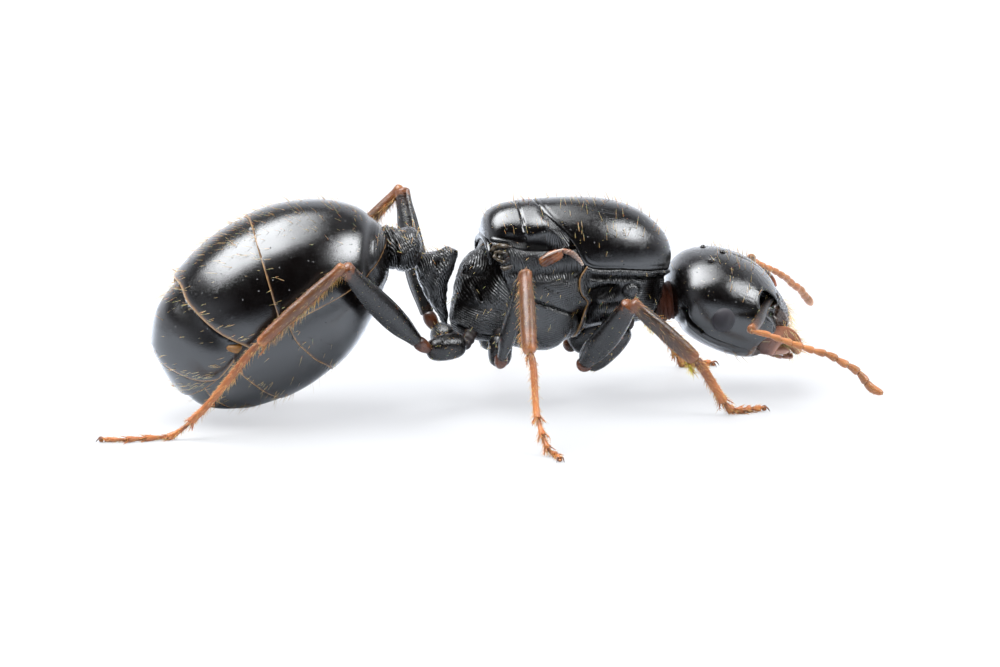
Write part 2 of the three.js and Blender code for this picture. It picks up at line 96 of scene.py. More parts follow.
# Soft boxes: where each hangs, what it points at, its two sizes and how bright its face is
lampColor = (0.95, 0.975, 1.0)
lamps = {
    "overLeft": dict(place=(-128, 6, 200), aim=(-128, 6, 0), size=(216, 190), glow=18.0),
    "overRight": dict(place=(7, 20, 200), aim=(7, 20, 0), size=(54, 180), glow=9.0),
    "rightBox": dict(
        place=(150, -82, 139), aim=(0, 0, 2), size=(124, 124), glow=20.0, shape="ELLIPSE"),
}


def buildLamps():
    # A box's power is its glow * area * pi, and a round one has pi/4 of its square's area
    for name, lamp in lamps.items():
        light = bpy.data.lights.new(name, "AREA")
        light.shape = lamp.get("shape", "RECTANGLE")
        roundness = np.pi / 4 if light.shape == "ELLIPSE" else 1.0
        light.size, light.size_y = (side * mm for side in lamp["size"])
        light.energy = lamp["glow"] * roundness * light.size * light.size_y * np.pi
        light.color = lampColor
        aimed(bpy.data.objects.new(name, light), lamp["place"], lamp["aim"])


def unit(vector):
    # The vector at a length of 1
    return np.asarray(vector, float) / np.linalg.norm(vector)


def unitRows(rows):
    # Each row at a length of 1
    return rows / np.maximum(np.linalg.norm(rows, axis=1, keepdims=True), 1e-12)


# Curves and surfaces

arcSteps, lineSteps = 90, 900     # points of one arc and of a whole curve while it is worked out


def softened(line, spread):
    # A row of points blurred along its length by a bell curve. The row is carried on past each
    # end, turned about the end point, so that its ends stay
    reach = max(1, int(3 * spread * len(line)))
    kernel = np.exp(-0.5 * (np.arange(-reach, reach + 1) / (spread * len(line))) ** 2)
    kernel /= kernel.sum()
    before = 2 * line[0] - line[reach:0:-1]
    after = 2 * line[-1] - line[-2:-reach - 2:-1]
    carried = np.vstack([before, line, after])
    return np.stack([np.convolve(column, kernel, "valid") for column in carried.T], 1)


def curveAt(knots, shares, soften=0.0):
    # A curve through knots, each arc a Hermite arc whose knot times grow with the square root
    # of the distance, read at shares of its length
    knots = np.asarray(knots, float)
    carried = np.vstack([2 * knots[0] - knots[1], knots, 2 * knots[-1] - knots[-2]])
    gaps = np.maximum(np.linalg.norm(np.diff(carried, axis=0), axis=1) ** 0.5, 1e-4)[:, None]
    before, here, after = gaps[:-2], gaps[1:-1], gaps[2:]
    first, start, end, last = carried[:-3], carried[1:-2], carried[2:-1], carried[3:]
    leave = ((start - first) / before - (end - first) / (before + here)
             + (end - start) / here) * here
    arrive = ((end - start) / here - (last - start) / (here + after)
              + (last - end) / after) * here
    t = np.linspace(0, 1, arcSteps, endpoint=False)[None, :, None]
    start, end, leave, arrive = (part[:, None, :] for part in (start, end, leave, arrive))
    arcs = (start * (2 * t**3 - 3 * t**2 + 1) + leave * (t**3 - 2 * t**2 + t)
            + end * (3 * t**2 - 2 * t**3) + arrive * (t**3 - t**2))
    line = np.vstack([arcs.reshape(-1, knots.shape[1]), knots[-1:]])
    line = evenly(line, np.linspace(0, 1, lineSteps))
    if soften:
        line = softened(line, soften)
    return evenly(line, shares)


def evenly(line, shares):
    # A row of points read at shares of its length
    lengths = np.concatenate([[0], np.cumsum(np.linalg.norm(np.diff(line, axis=0), axis=1))])
    places = np.asarray(shares) * lengths[-1]
    return np.stack([np.interp(places, lengths, column) for column in line.T], -1)


def valuesAlong(values, shares):
    # A smooth value read along a short list
    steps = np.linspace(0, 1, len(values))
    line = curveAt(np.stack([steps * len(values), values], 1), np.linspace(0, 1, 600), 0.05)
    return np.interp(shares, line[:, 0] / len(values), line[:, 1])


def signedPower(value, power):
    # |value|^power with the sign of the value
    return np.sign(value) * np.abs(value) ** power


def endShares(steps, low=0.0, high=1.0):
    # Shares that lie closer together towards both ends, without the ends themselves
    return low + (high - low) * (1 - np.cos(np.pi * np.arange(1, steps) / steps)) / 2


def railPoints(form, shares, turns):
    # Sections between an upper and a lower edge: middle + rise * cos^q along the section and
    # half width * sin^q across it. The half width tapers as (1 - |2r - 1|^b)^(1/b), where r is
    # the share of the body's length
    high = curveAt(form["upper"], shares, form["soften"])
    low = curveAt(form["lower"], shares, form["soften"])
    ends = curveAt(form["upper"], [0, 1])
    length = ends[1] - ends[0]
    middle = (high + low) / 2
    rise = high - middle
    reach = np.clip((middle - ends[0]) @ length / (length @ length), 0.0005, 0.9995)
    taper = (1 - np.abs(2 * reach - 1) ** form["bluntness"]) ** (1 / form["bluntness"])
    width = valuesAlong(form["halfWidths"], reach) * taper
    up = signedPower(np.cos(turns), form["squareness"])
    across = signedPower(np.sin(turns), form["squareness"])
    points = np.empty((len(shares), len(turns), 3))
    points[:, :, 0] = middle[:, :1] + rise[:, :1] * up
    points[:, :, 2] = middle[:, 1:] + rise[:, 1:] * up
    points[:, :, 1] = width[:, None] * across
    return points


def ringFaces(rings, sides):
    # Triangles of a row of rings, with a pole point before the first and after the last
    side = np.arange(sides)
    following = (side + 1) % sides
    last = rings * sides + 1
    start = np.stack([np.zeros(sides, int), 1 + following, 1 + side], 1)
    end = np.stack([np.full(sides, last), last - sides + side, last - sides + following], 1)
    low = 1 + np.arange(rings - 1)[:, None] * sides
    corners = [low + side, low + following, low + sides + side, low + sides + following]
    a, b, c, d = (corner.ravel() for corner in corners)
    return np.vstack([start, np.stack([a, b, c], 1), np.stack([c, b, d], 1), end])


def outward(points, faces):
    # The faces turned outward, told by the sign of the volume that they close
    corners = points[faces]
    volume = np.einsum("ij,ij->i", corners[:, 0], np.cross(corners[:, 1], corners[:, 2])).sum()
    return faces if volume > 0 else faces[:, ::-1]


def normalsOf(points, faces):
    # Each point's normal: the sum of its triangles' normals, each as long as twice its area
    corners = points[faces]
    flat = np.cross(corners[:, 1] - corners[:, 0], corners[:, 2] - corners[:, 0])
    total = np.stack([
        sum(np.bincount(faces[:, turn], flat[:, axis], len(points)) for turn in range(3))
        for axis in range(3)], 1)
    return unitRows(total)


# A surface is a table with a row for each point: place, normal and the two shares of the point
# on its body's unwrapped skin, along and round it. Cuts read the table's columns straight
# between rows
spot, facing, skin = slice(0, 3), slice(3, 6), slice(6, 8)
upward, lengthwise, columnCount = 5, 6, 8


def ringTable(rings, startPole, endPole, lengthShares):
    # The table and faces of a closed row of rings
    steps, sides = rings.shape[:2]
    points = np.vstack([startPole[None], rings.reshape(-1, 3), endPole[None]])
    faces = outward(points, ringFaces(steps, sides))
    unwrapped = np.stack(np.meshgrid(lengthShares, np.arange(sides) / sides, indexing="ij"), -1)
    ends = [[lengthShares[0], 0.5]], [[lengthShares[-1], 0.5]]
    table = np.hstack([points, normalsOf(points, faces),
                       np.vstack([ends[0], unwrapped.reshape(-1, 2), ends[1]])])
    return table, faces


def railSurface(form, shares, sides):
    # The closed surface between two rails, its poles at the middles of its end rings
    rings = railPoints(form, shares, 2 * np.pi * np.arange(sides) / sides)
    ends = [rings[0].mean(0), rings[-1].mean(0)]
    return ringTable(rings, ends[0], ends[1], shares)


def cutAlong(table, faces, heights):
    # The part of a surface where the height is positive. A triangle that crosses zero is cut
    # where the height, read straight between its corners, is zero
    inside = heights > 0
    count = inside[faces].sum(1)

    def turned(part, turn):
        # The triangles with the corner that lies apart put first
        return np.take_along_axis(part, (turn[:, None] + np.arange(3)) % 3, 1)

    one = faces[count == 1]
    one = turned(one, inside[one].argmax(1))
    two = faces[count == 2]
    two = turned(two, (~inside[two]).argmax(1))
    edges = np.sort(np.vstack([one[:, [0, 1]], one[:, [0, 2]], two[:, [0, 1]], two[:, [0, 2]]]), 1)
    edges, which = np.unique(edges, axis=0, return_inverse=True)
    low, high = heights[edges[:, 0]], heights[edges[:, 1]]
    share = (low / (low - high))[:, None]
    fresh = table[edges[:, 0]] * (1 - share) + table[edges[:, 1]] * share
    ids = len(table) + which.reshape(-1)
    a, b, c, d = np.split(ids, np.cumsum([len(one), len(one), len(two)]))
    kept = np.vstack([faces[count == 3], np.stack([one[:, 0], a, b], 1),
                      np.stack([c, two[:, 1], two[:, 2]], 1), np.stack([c, two[:, 2], d], 1)])
    used, kept = np.unique(kept, return_inverse=True)
    return np.vstack([table, fresh])[used], kept.reshape(-1, 3)


def walled(table, faces, thickness, middle):
    # An open surface made a closed shell: a second skin nearer to the middle and a strip round
    # its rim
    inner = table.copy()
    inner[:, spot] += thickness * unitRows(middle - table[:, spot])
    inner[:, facing] *= -1
    count = len(table)
    edges = np.vstack([faces[:, [0, 1]], faces[:, [1, 2]], faces[:, [2, 0]]])
    keys, back = edges[:, 0] * count + edges[:, 1], edges[:, 1] * count + edges[:, 0]
    rim = edges[~np.isin(keys, back)]
    strip = np.vstack([np.stack([rim[:, 1], rim[:, 0], rim[:, 0] + count], 1),
                       np.stack([rim[:, 1], rim[:, 0] + count, rim[:, 1] + count], 1)])
    return np.vstack([table, inner]), np.vstack([faces, faces[:, ::-1] + count, strip])


def limbSurface(path, form, width, across=(0, 1, 0), flatness=1.0, rings=60, sides=24,
                soften=0.012, cap=0.5, ridge=None):
    # A tube along a path: each ring is rise * r cos + across * r flatness sin, where r follows
    # the form's stations and closes at both ends as a quarter circle. A ridge multiplies r
    share = endShares(rings)
    fineShare = np.linspace(0, 1, lineSteps)
    fine = curveAt(path, fineShare, soften)
    middle = evenly(fine, share)
    ahead = np.gradient(fine, axis=0)
    ahead = np.stack([np.interp(share, fineShare, column) for column in ahead.T], 1)
    ahead = unitRows(ahead)
    rise = unitRows(np.cross(np.broadcast_to(across, ahead.shape), ahead))
    sideways = np.cross(ahead, rise)
    length = np.linalg.norm(np.diff(fine, axis=0), axis=1).sum()
    stations = curveAt(form, np.linspace(0, 1, 600))
    radius = width * np.interp(share, stations[:, 0], stations[:, 1])
    toEnd = np.minimum(share, 1 - share) * length
    depth = cap * radius
    radius = radius * np.sqrt(1 - np.clip(1 - toEnd / depth, 0, 1) ** 2)
    turns = 2 * np.pi * np.arange(sides) / sides
    swell = np.ones((len(share), sides)) if ridge is None else ridge(share[:, None], turns[None])
    points = (middle[:, None] + rise[:, None] * (radius[:, None] * swell * np.cos(turns))[..., None]
              + sideways[:, None] * (radius[:, None] * swell * flatness * np.sin(turns))[..., None])
    return ringTable(points, fine[0], fine[-1], share)


def egg(centre, halfSizes, rings=40, sides=60):
    # A sphere stretched to three half sizes, its poles on the y axis
    tilt = np.pi * np.arange(1, rings) / rings
    turns = 2 * np.pi * np.arange(sides) / sides
    unit = np.stack([np.outer(np.sin(tilt), np.cos(turns)),
                     np.repeat(-np.cos(tilt)[:, None], sides, 1),
                     np.outer(np.sin(tilt), np.sin(turns))], -1)
    pole = np.array([0, halfSizes[1], 0])
    centre = np.asarray(centre, float)
    return ringTable(centre + unit * halfSizes, centre - pole, centre + pole, tilt / np.pi)


def folds(depth, count, slant=0.0):
    # Ring folds for a tube: 1 + depth * cos(2 pi * count * share + slant * cos(turn))
    return lambda share, turn: 1 + depth * np.cos(2 * np.pi * count * share + slant * np.cos(turn))


def joined(*surfaces):
    # Several closed surfaces as one
    tables, faces, start = [], [], 0
    for table, part in surfaces:
        tables.append(table)
        faces.append(part + start)
        start += len(table)
    return np.vstack(tables), np.vstack(faces)


def mirrored(surface):
    # The same surface on the ant's other side, its faces turned to point outward again
    table, faces = surface
    table = table.copy()
    table[:, [1, 4]] *= -1
    return table, faces[:, ::-1]


def bothSides(surface):
    return ("right", surface), ("left", mirrored(surface))


# Reliefs: heights over a surface, added along its normals


def nearest(points, line):
    # The distance from points to a row of straight stretches, and the side of it they lie on
    points = points.astype(np.float32)
    starts = line[:-1].astype(np.float32)
    ways = np.diff(line, axis=0).astype(np.float32)
    best = np.full(len(points), np.inf, np.float32)
    side = np.zeros(len(points), np.float32)
    for start, way in zip(starts, ways):
        past = points - start
        share = np.clip(past @ way / (way @ way), 0, 1)
        gap = past - share[:, None] * way
        distance = np.einsum("ij,ij->i", gap, gap)
        turn = way[0] * past[:, 1] - way[1] * past[:, 0]
        closer = distance < best
        best = np.where(closer, distance, best)
        side = np.where(closer, np.sign(turn), side)
    return np.sqrt(best).astype(float), side.astype(float)


def beyond(table, knots, heading):
    # The distance past a line drawn from the side and prolonged far past both ends
    line = curveAt(knots, np.linspace(0, 1, 40), 0.012)
    far = 20.0
    start, end = line[0] + far * unit(line[0] - line[1]), line[-1] + far * unit(line[-1] - line[-2])
    line = np.vstack([start, line, end])
    distance, side = nearest(table[:, (0, 2)], line)
    way = line[-2] - line[1]
    headed = np.sign(way[0] * heading[1] - way[1] * heading[0])
    return distance * side * headed


fromSide, fromAbove = (0, 2), (0, 1)     # the two columns that a line's knots are given in


def crease(table, knots, width, depth, columns=fromSide):
    # A groove, or with a negative depth a ridge, the same on both sides of the ant:
    # -depth * exp(-(distance / width)^2)
    flat = table[:, columns].copy()
    if columns == fromAbove:
        flat[:, 1] = np.abs(flat[:, 1])
    distance, _ = nearest(flat, curveAt(knots, np.linspace(0, 1, 24)))
    return -depth * np.exp(-(distance / width) ** 2)


def swell(table, centre, sizes, height, power=2):
    # A mound, or with a negative height a hollow: height * exp(-|offset / sizes|^power), the
    # same on both sides of the ant
    offset = (np.column_stack([table[:, 0], np.abs(table[:, 1]), table[:, 2]]) - centre) / sizes
    return height * np.exp(-np.linalg.norm(offset, axis=1) ** power)


def ripple(points, size, seed, parts=6):
    # A smooth random value from -1 to 1: a mean of sine waves that run in random directions
    chance = np.random.default_rng(seed)
    ways = chance.normal(size=(parts, 3))
    ways *= 2 * np.pi / size / np.linalg.norm(ways, axis=1, keepdims=True)
    return np.sin(points @ ways.T + chance.uniform(0, 6.3, parts)).mean(1) * 1.6


def striae(field, spacing, depth):
    # Rounded ribs with narrow grooves between them: -depth * (1 - |sin|)^1.5
    return -depth * (1 - np.abs(np.sin(np.pi * field / spacing))) ** 1.5


def ribsOf(spacing, *parts):
    # Marks for the fine ribs of a shell, from fields and the weights they hold: where fields
    # meet the ribs fade out
    fields = np.stack([part[0] for part in parts]) / spacing
    weights = np.stack([part[1] for part in parts])
    first = weights.argmax(0)[None]
    share = np.take_along_axis(weights, first, 0)[0]
    rest = weights.sum(0) - share
    return {"ribField": np.take_along_axis(fields, first, 0)[0],
            "ribShare": np.clip(share - rest, 0, 1)}


def ease(value, low, high):
    # From 0 at low to 1 at high as 3 s^2 - 2 s^3
    share = np.clip((value - low) / (high - low), 0, 1)
    return share * share * (3 - 2 * share)


def rolled(edge, depth, width):
    # A plate's edge turned down: -depth * exp(-edge / width)
    return -depth * np.exp(-np.maximum(edge, 0) / width)


def band(value, middle, width, height):
    # A raised band, or with a negative height a sunk one: height * exp(-((v - middle) / width)^2)
    return height * np.exp(-((value - middle) / width) ** 2)


def raised(table, faces, heights):
    # The surface moved along its normals by the heights, with new normals
    table = table.copy()
    table[:, spot] += table[:, facing] * np.reshape(heights, (-1, 1))
    table[:, facing] = normalsOf(table[:, spot], faces)
    return table, faces


# Finishes: node groups that several materials share, then one material for each kind of shell


def newGroup(name, inputs, outputs):
    # An empty node group with a place and other named inputs, and its two end nodes
    group = bpy.data.node_groups.new(name, "ShaderNodeTree")
    group.interface.new_socket(name="Place", in_out="INPUT", socket_type="NodeSocketVector")
    for label, kind, value in inputs:
        socket = group.interface.new_socket(name=label, in_out="INPUT",
                                            socket_type="NodeSocket" + kind)
        socket.default_value = value
    for label, kind in outputs:
        group.interface.new_socket(name=label, in_out="OUTPUT", socket_type="NodeSocket" + kind)
    return group, group.nodes.new("NodeGroupInput"), group.nodes.new("NodeGroupOutput")


def feed(tree, socket, value):
    # Links a socket to another one, or gives it a value or a colour
    if isinstance(value, bpy.types.NodeSocket):
        tree.links.new(value, socket)
    elif socket.type == "RGBA" and len(value) == 3:
        socket.default_value = (*value, 1)
    else:
        socket.default_value = value


def setInputs(tree, node, **given):
    # Feeds sockets by their labels, written with _ for a space
    for label, value in given.items():
        feed(tree, node.inputs[label.replace("_", " ")], value)


def addNode(tree, kind, **given):
    # A node with its own settings by name, and its input sockets by place
    node = tree.nodes.new("ShaderNode" + kind)
    for name, value in given.items():
        if name[:2] == "at" and name[2:].isdigit():
            feed(tree, node.inputs[int(name[2:])], value)
        else:
            setattr(node, name, value)
    return node


def mathNode(tree, operation, first, second=0.0, third=0.0, clamp=False):
    return addNode(tree, "Math", operation=operation, use_clamp=clamp,
                   at0=first, at1=second, at2=third).outputs[0]


def blendNode(tree, share, first, second):
    # Two colours mixed by a share
    return addNode(tree, "Mix", data_type="RGBA", at0=share, at6=first, at7=second).outputs[2]


def rangeNode(tree, value, low, high, start=0.0, end=1.0, kind="LINEAR"):
    # A value's way from low to high, made a way from start to end
    return addNode(tree, "MapRange", interpolation_type=kind, at0=value, at1=low, at2=high,
                   at3=start, at4=end).outputs[0]


def marked(tree, name):
    # A mark that the mesh carries for each of its points
    return addNode(tree, "Attribute", attribute_name=name).outputs[2]


def buildShagreen():
    # The fine net of raised lines on ant shell: cells whose edges stand up, broken by noise
    tree, start, end = newGroup(
        "shagreen", [("Cells", "Float", 40.0), ("Unevenness", "Float", 0.5)],
        [("Height", "Float"), ("Tone", "Float")])
    place, cells, unevenness = start.outputs[:3]
    edges = addNode(tree, "TexVoronoi", feature="DISTANCE_TO_EDGE", at0=place, at2=cells)
    net = rangeNode(tree, edges.outputs[0], 0.0, 0.25, 1.0, 0.0)
    patches = addNode(tree, "TexNoise", at0=place, at2=3.0, at3=3.0)
    uneven = rangeNode(tree, patches.outputs[0], 0.35, 0.65)
    kept = mathNode(tree, "MULTIPLY", uneven, unevenness)
    rest = mathNode(tree, "SUBTRACT", 1.0, kept)
    setInputs(tree, end, Height=mathNode(tree, "MULTIPLY", net, rest), Tone=uneven)
    return tree


def buildPores():
    # Small round pits that the hairs stand in: one near the middle of each loose cell
    tree, start, end = newGroup("pores", [("Density", "Float", 8.0), ("Size", "Float", 0.16)],
                                [("Height", "Float"), ("Mask", "Float")])
    place, density, size = start.outputs[:3]
    cells = addNode(tree, "TexVoronoi", feature="F1", at0=place, at2=density)
    pit = rangeNode(tree, cells.outputs[0], 0.0, size, 1.0, 0.0, "SMOOTHSTEP")
    setInputs(tree, end, Height=mathNode(tree, "MULTIPLY", pit, -1.0), Mask=pit)
    return tree


def buildFineRibs():
    # Fine uneven ribs that run across one direction, warped by noise
    tree, start, end = newGroup("fineRibs", [("Density", "Float", 12.0), ("Warp", "Float", 2.0)],
                                [("Height", "Float")])
    place, density, warp = start.outputs[:3]
    wave = addNode(tree, "TexWave", wave_type="BANDS", bands_direction="X", at0=place, at1=density,
                   at2=warp, at3=2.0, at4=0.8)
    setInputs(tree, end, Height=wave.outputs[1])
    return tree


def buildSpecks():
    # Pale dust caught on the shell: sparse specks of two sizes
    tree, start, end = newGroup("specks", [("Amount", "Float", 0.5)], [("Mask", "Float")])
    place, amount = start.outputs[:2]
    cells = addNode(tree, "TexVoronoi", feature="F1", at0=place, at2=14.0)
    dots = rangeNode(tree, cells.outputs[0], 0.05, 0.13, 1.0, 0.0)
    patches = addNode(tree, "TexNoise", at0=place, at2=5.0, at3=4.0)
    where = rangeNode(tree, patches.outputs[0], 0.55, 0.7)
    both = mathNode(tree, "MULTIPLY", dots, where)
    setInputs(tree, end, Mask=mathNode(tree, "MULTIPLY", both, amount))
    return tree


def buildRimTint():
    # Plates run out into thin amber horn at their free rims, which the rim attribute marks
    tree, start, end = newGroup("rimTint", [("Shell", "Color", (0, 0, 0, 1)),
                                            ("Horn", "Color", (0.045, 0.018, 0.005, 1)),
                                            ("Edge", "Color", (0.2, 0.105, 0.03, 1))],
                                [("Color", "Color"), ("Mask", "Float")])
    place, shell, rimHorn, rimEdge = start.outputs[:4]
    rim = marked(tree, "rim")
    noise = addNode(tree, "TexNoise", at0=place, at2=9.0, at3=3.0)
    loose = mathNode(tree, "MULTIPLY_ADD", noise.outputs[0], 0.5, -0.25)
    shown = mathNode(tree, "ADD", rim, loose)
    horn = rangeNode(tree, shown, 0.2, 0.75, kind="SMOOTHSTEP")
    edge = rangeNode(tree, shown, 0.65, 1.0, kind="SMOOTHSTEP")
    first = blendNode(tree, horn, shell, rimHorn)
    setInputs(tree, end, Color=blendNode(tree, edge, first, rimEdge), Mask=horn)
    return tree


groups = {tree.name: tree for tree in (buildShagreen(), buildPores(), buildFineRibs(),
                                       buildSpecks(), buildRimTint())}


def useGroup(tree, name, where, **given):
    # A shared group with its own values in one material
    node = addNode(tree, "Group", node_tree=groups[name], at0=where)
    setInputs(tree, node, **given)
    return node


def newMaterial(name, density, roughness):
    # An empty material with its shader, and the place on the ant in millimetres
    material = bpy.data.materials.new(name)
    material.use_nodes = True
    tree = material.node_tree
    shader = tree.nodes["Principled BSDF"]
    setInputs(tree, shader, IOR=density, Roughness=roughness)
    where = addNode(tree, "TexCoord")
    millimetres = addNode(tree, "Mapping", at0=where.outputs["Object"],
                          at3=(1 / mm, 1 / mm, 1 / mm))
    return material, tree, shader, millimetres.outputs[0]


def addBumps(tree, shader, *bumps):
    # Heights one over the other, each with its depth in millimetres
    under = None
    for height, depth in bumps:
        bump = addNode(tree, "Bump", at0=1.0, at1=depth * mm, at3=height)
        if under is not None:
            tree.links.new(under, bump.inputs[4])
        under = bump.outputs[0]
    tree.links.new(under, shader.inputs["Normal"])


shells = {
    "gasterShell": dict(
        color=(0.0012, 0.0008, 0.0007), roughness=(0.14, 0.22), cells=34.0, net=0.0009, pores=5.0,
        poreSize=0.1, poreDepth=0.012, ribs=9.0, ribDepth=0.0003, specks=0.25),
    "bodyShell": dict(
        color=(0.0012, 0.0009, 0.0009), roughness=(0.13, 0.22), cells=42.0, net=0.001, pores=6.5,
        poreSize=0.14, poreDepth=0.02, ribs=11.0, ribDepth=0.0004, specks=0.4),
    "headShell": dict(
        color=(0.0014, 0.001, 0.0009), roughness=(0.16, 0.22), cells=44.0, net=0.0011, pores=6.0,
        poreSize=0.12, poreDepth=0.014, ribs=14.0, ribDepth=0.0005, specks=0.35),
    "ribbedShell": dict(
        color=(0.0015, 0.0011, 0.001), roughness=(0.2, 0.34), cells=36.0, net=0.0012, pores=8.0,
        poreSize=0.15, poreDepth=0.012, ribs=7.0, ribDepth=0.0035, specks=0.5),
}


shellDensity = 1.56
dustColor = (0.16, 0.14, 0.11)
ribHeight = 0.028


def buildShell(name, color, roughness, cells, net, pores, poreSize, poreDepth, ribs, ribDepth,
               specks):
    # Black plate: a fine net, pits, ribs and dust, and amber horn at its rim
    material, tree, shader, where = newMaterial(name, shellDensity, 0.2)
    mesh = useGroup(tree, "shagreen", where, Cells=cells, Unevenness=0.7)
    pits = useGroup(tree, "pores", where, Density=pores, Size=poreSize)
    grooves = useGroup(tree, "fineRibs", where, Density=ribs, Warp=5.0)
    dust = useGroup(tree, "specks", where, Amount=specks)
    tint = useGroup(tree, "rimTint", where, Shell=color)
    dusty = blendNode(tree, dust.outputs[0], tint.outputs[0], dustColor)
    rough = rangeNode(tree, mesh.outputs[1], 0.0, 1.0, *roughness)
    worn = mathNode(tree, "MULTIPLY_ADD", dust.outputs[0], 0.4, rough)
    rimmed = mathNode(tree, "MULTIPLY_ADD", tint.outputs[1], 0.15, worn)
    field, share = marked(tree, "ribField"), marked(tree, "ribShare")
    turn = mathNode(tree, "MULTIPLY", field, np.pi)
    wave = mathNode(tree, "ABSOLUTE", mathNode(tree, "SINE", turn))
    along = mathNode(tree, "MULTIPLY", mathNode(tree, "POWER", wave, 0.6), share)
    # Painted shade: the specular level drops where the hollow mark says a place lies deep in a
    # groove
    shadedGloss = mathNode(tree, "MULTIPLY_ADD", marked(tree, "hollow"), -0.46, 0.5)
    setInputs(tree, shader, Base_Color=dusty, Roughness=rimmed, Specular_IOR_Level=shadedGloss)
    addBumps(tree, shader, (along, ribHeight), (grooves.outputs[0], ribDepth),
             (pits.outputs[0], poreDepth), (mesh.outputs[0], net))
    return material


def buildRampShell(name, stops, roughness, subsurface=0.0, grain=14.0, depth=0.003, mottle=0.25,
                   density=1.4):
    # Limb shell, coloured along its length by the stretch mark, mottled and grained
    material, tree, shader, where = newMaterial(name, density, roughness)
    setInputs(tree, shader, Subsurface_Weight=subsurface, Subsurface_Radius=(1.0, 0.45, 0.2),
              Subsurface_Scale=0.12 * mm)
    stretch = marked(tree, "stretch")
    noise = addNode(tree, "TexNoise", at0=where, at2=6.0, at3=4.0)
    loose = mathNode(tree, "MULTIPLY_ADD", noise.outputs[0], mottle, -mottle / 2)
    ramp = addNode(tree, "ValToRGB", at0=mathNode(tree, "ADD", stretch, loose))
    ramp.color_ramp.interpolation = "EASE"
    points = ramp.color_ramp.elements
    while len(points) < len(stops):
        points.new(0.5)
    for point, (share, color) in zip(points, stops):
        point.position = share
        point.color = (*color, 1)
    net = useGroup(tree, "shagreen", where, Cells=grain, Unevenness=0.5)
    darker = blendNode(tree, mathNode(tree, "MULTIPLY", net.outputs[1], 0.35), ramp.outputs[0],
                       soil)
    rough = rangeNode(tree, noise.outputs[0], 0.3, 0.7, roughness - 0.08, roughness + 0.1)
    setInputs(tree, shader, Base_Color=darker, Roughness=rough)
    addBumps(tree, shader, (net.outputs[0], depth))
    return material


soil = (0.006, 0.004, 0.003)
black = (0.0016, 0.0014, 0.0015)
umber = (0.013, 0.0055, 0.003)
rust = (0.11, 0.034, 0.01)
orange = (0.28, 0.1, 0.027)
tawny = (0.075, 0.028, 0.0095)
soot = (0.006, 0.004, 0.004)
copper = (0.3, 0.095, 0.022)

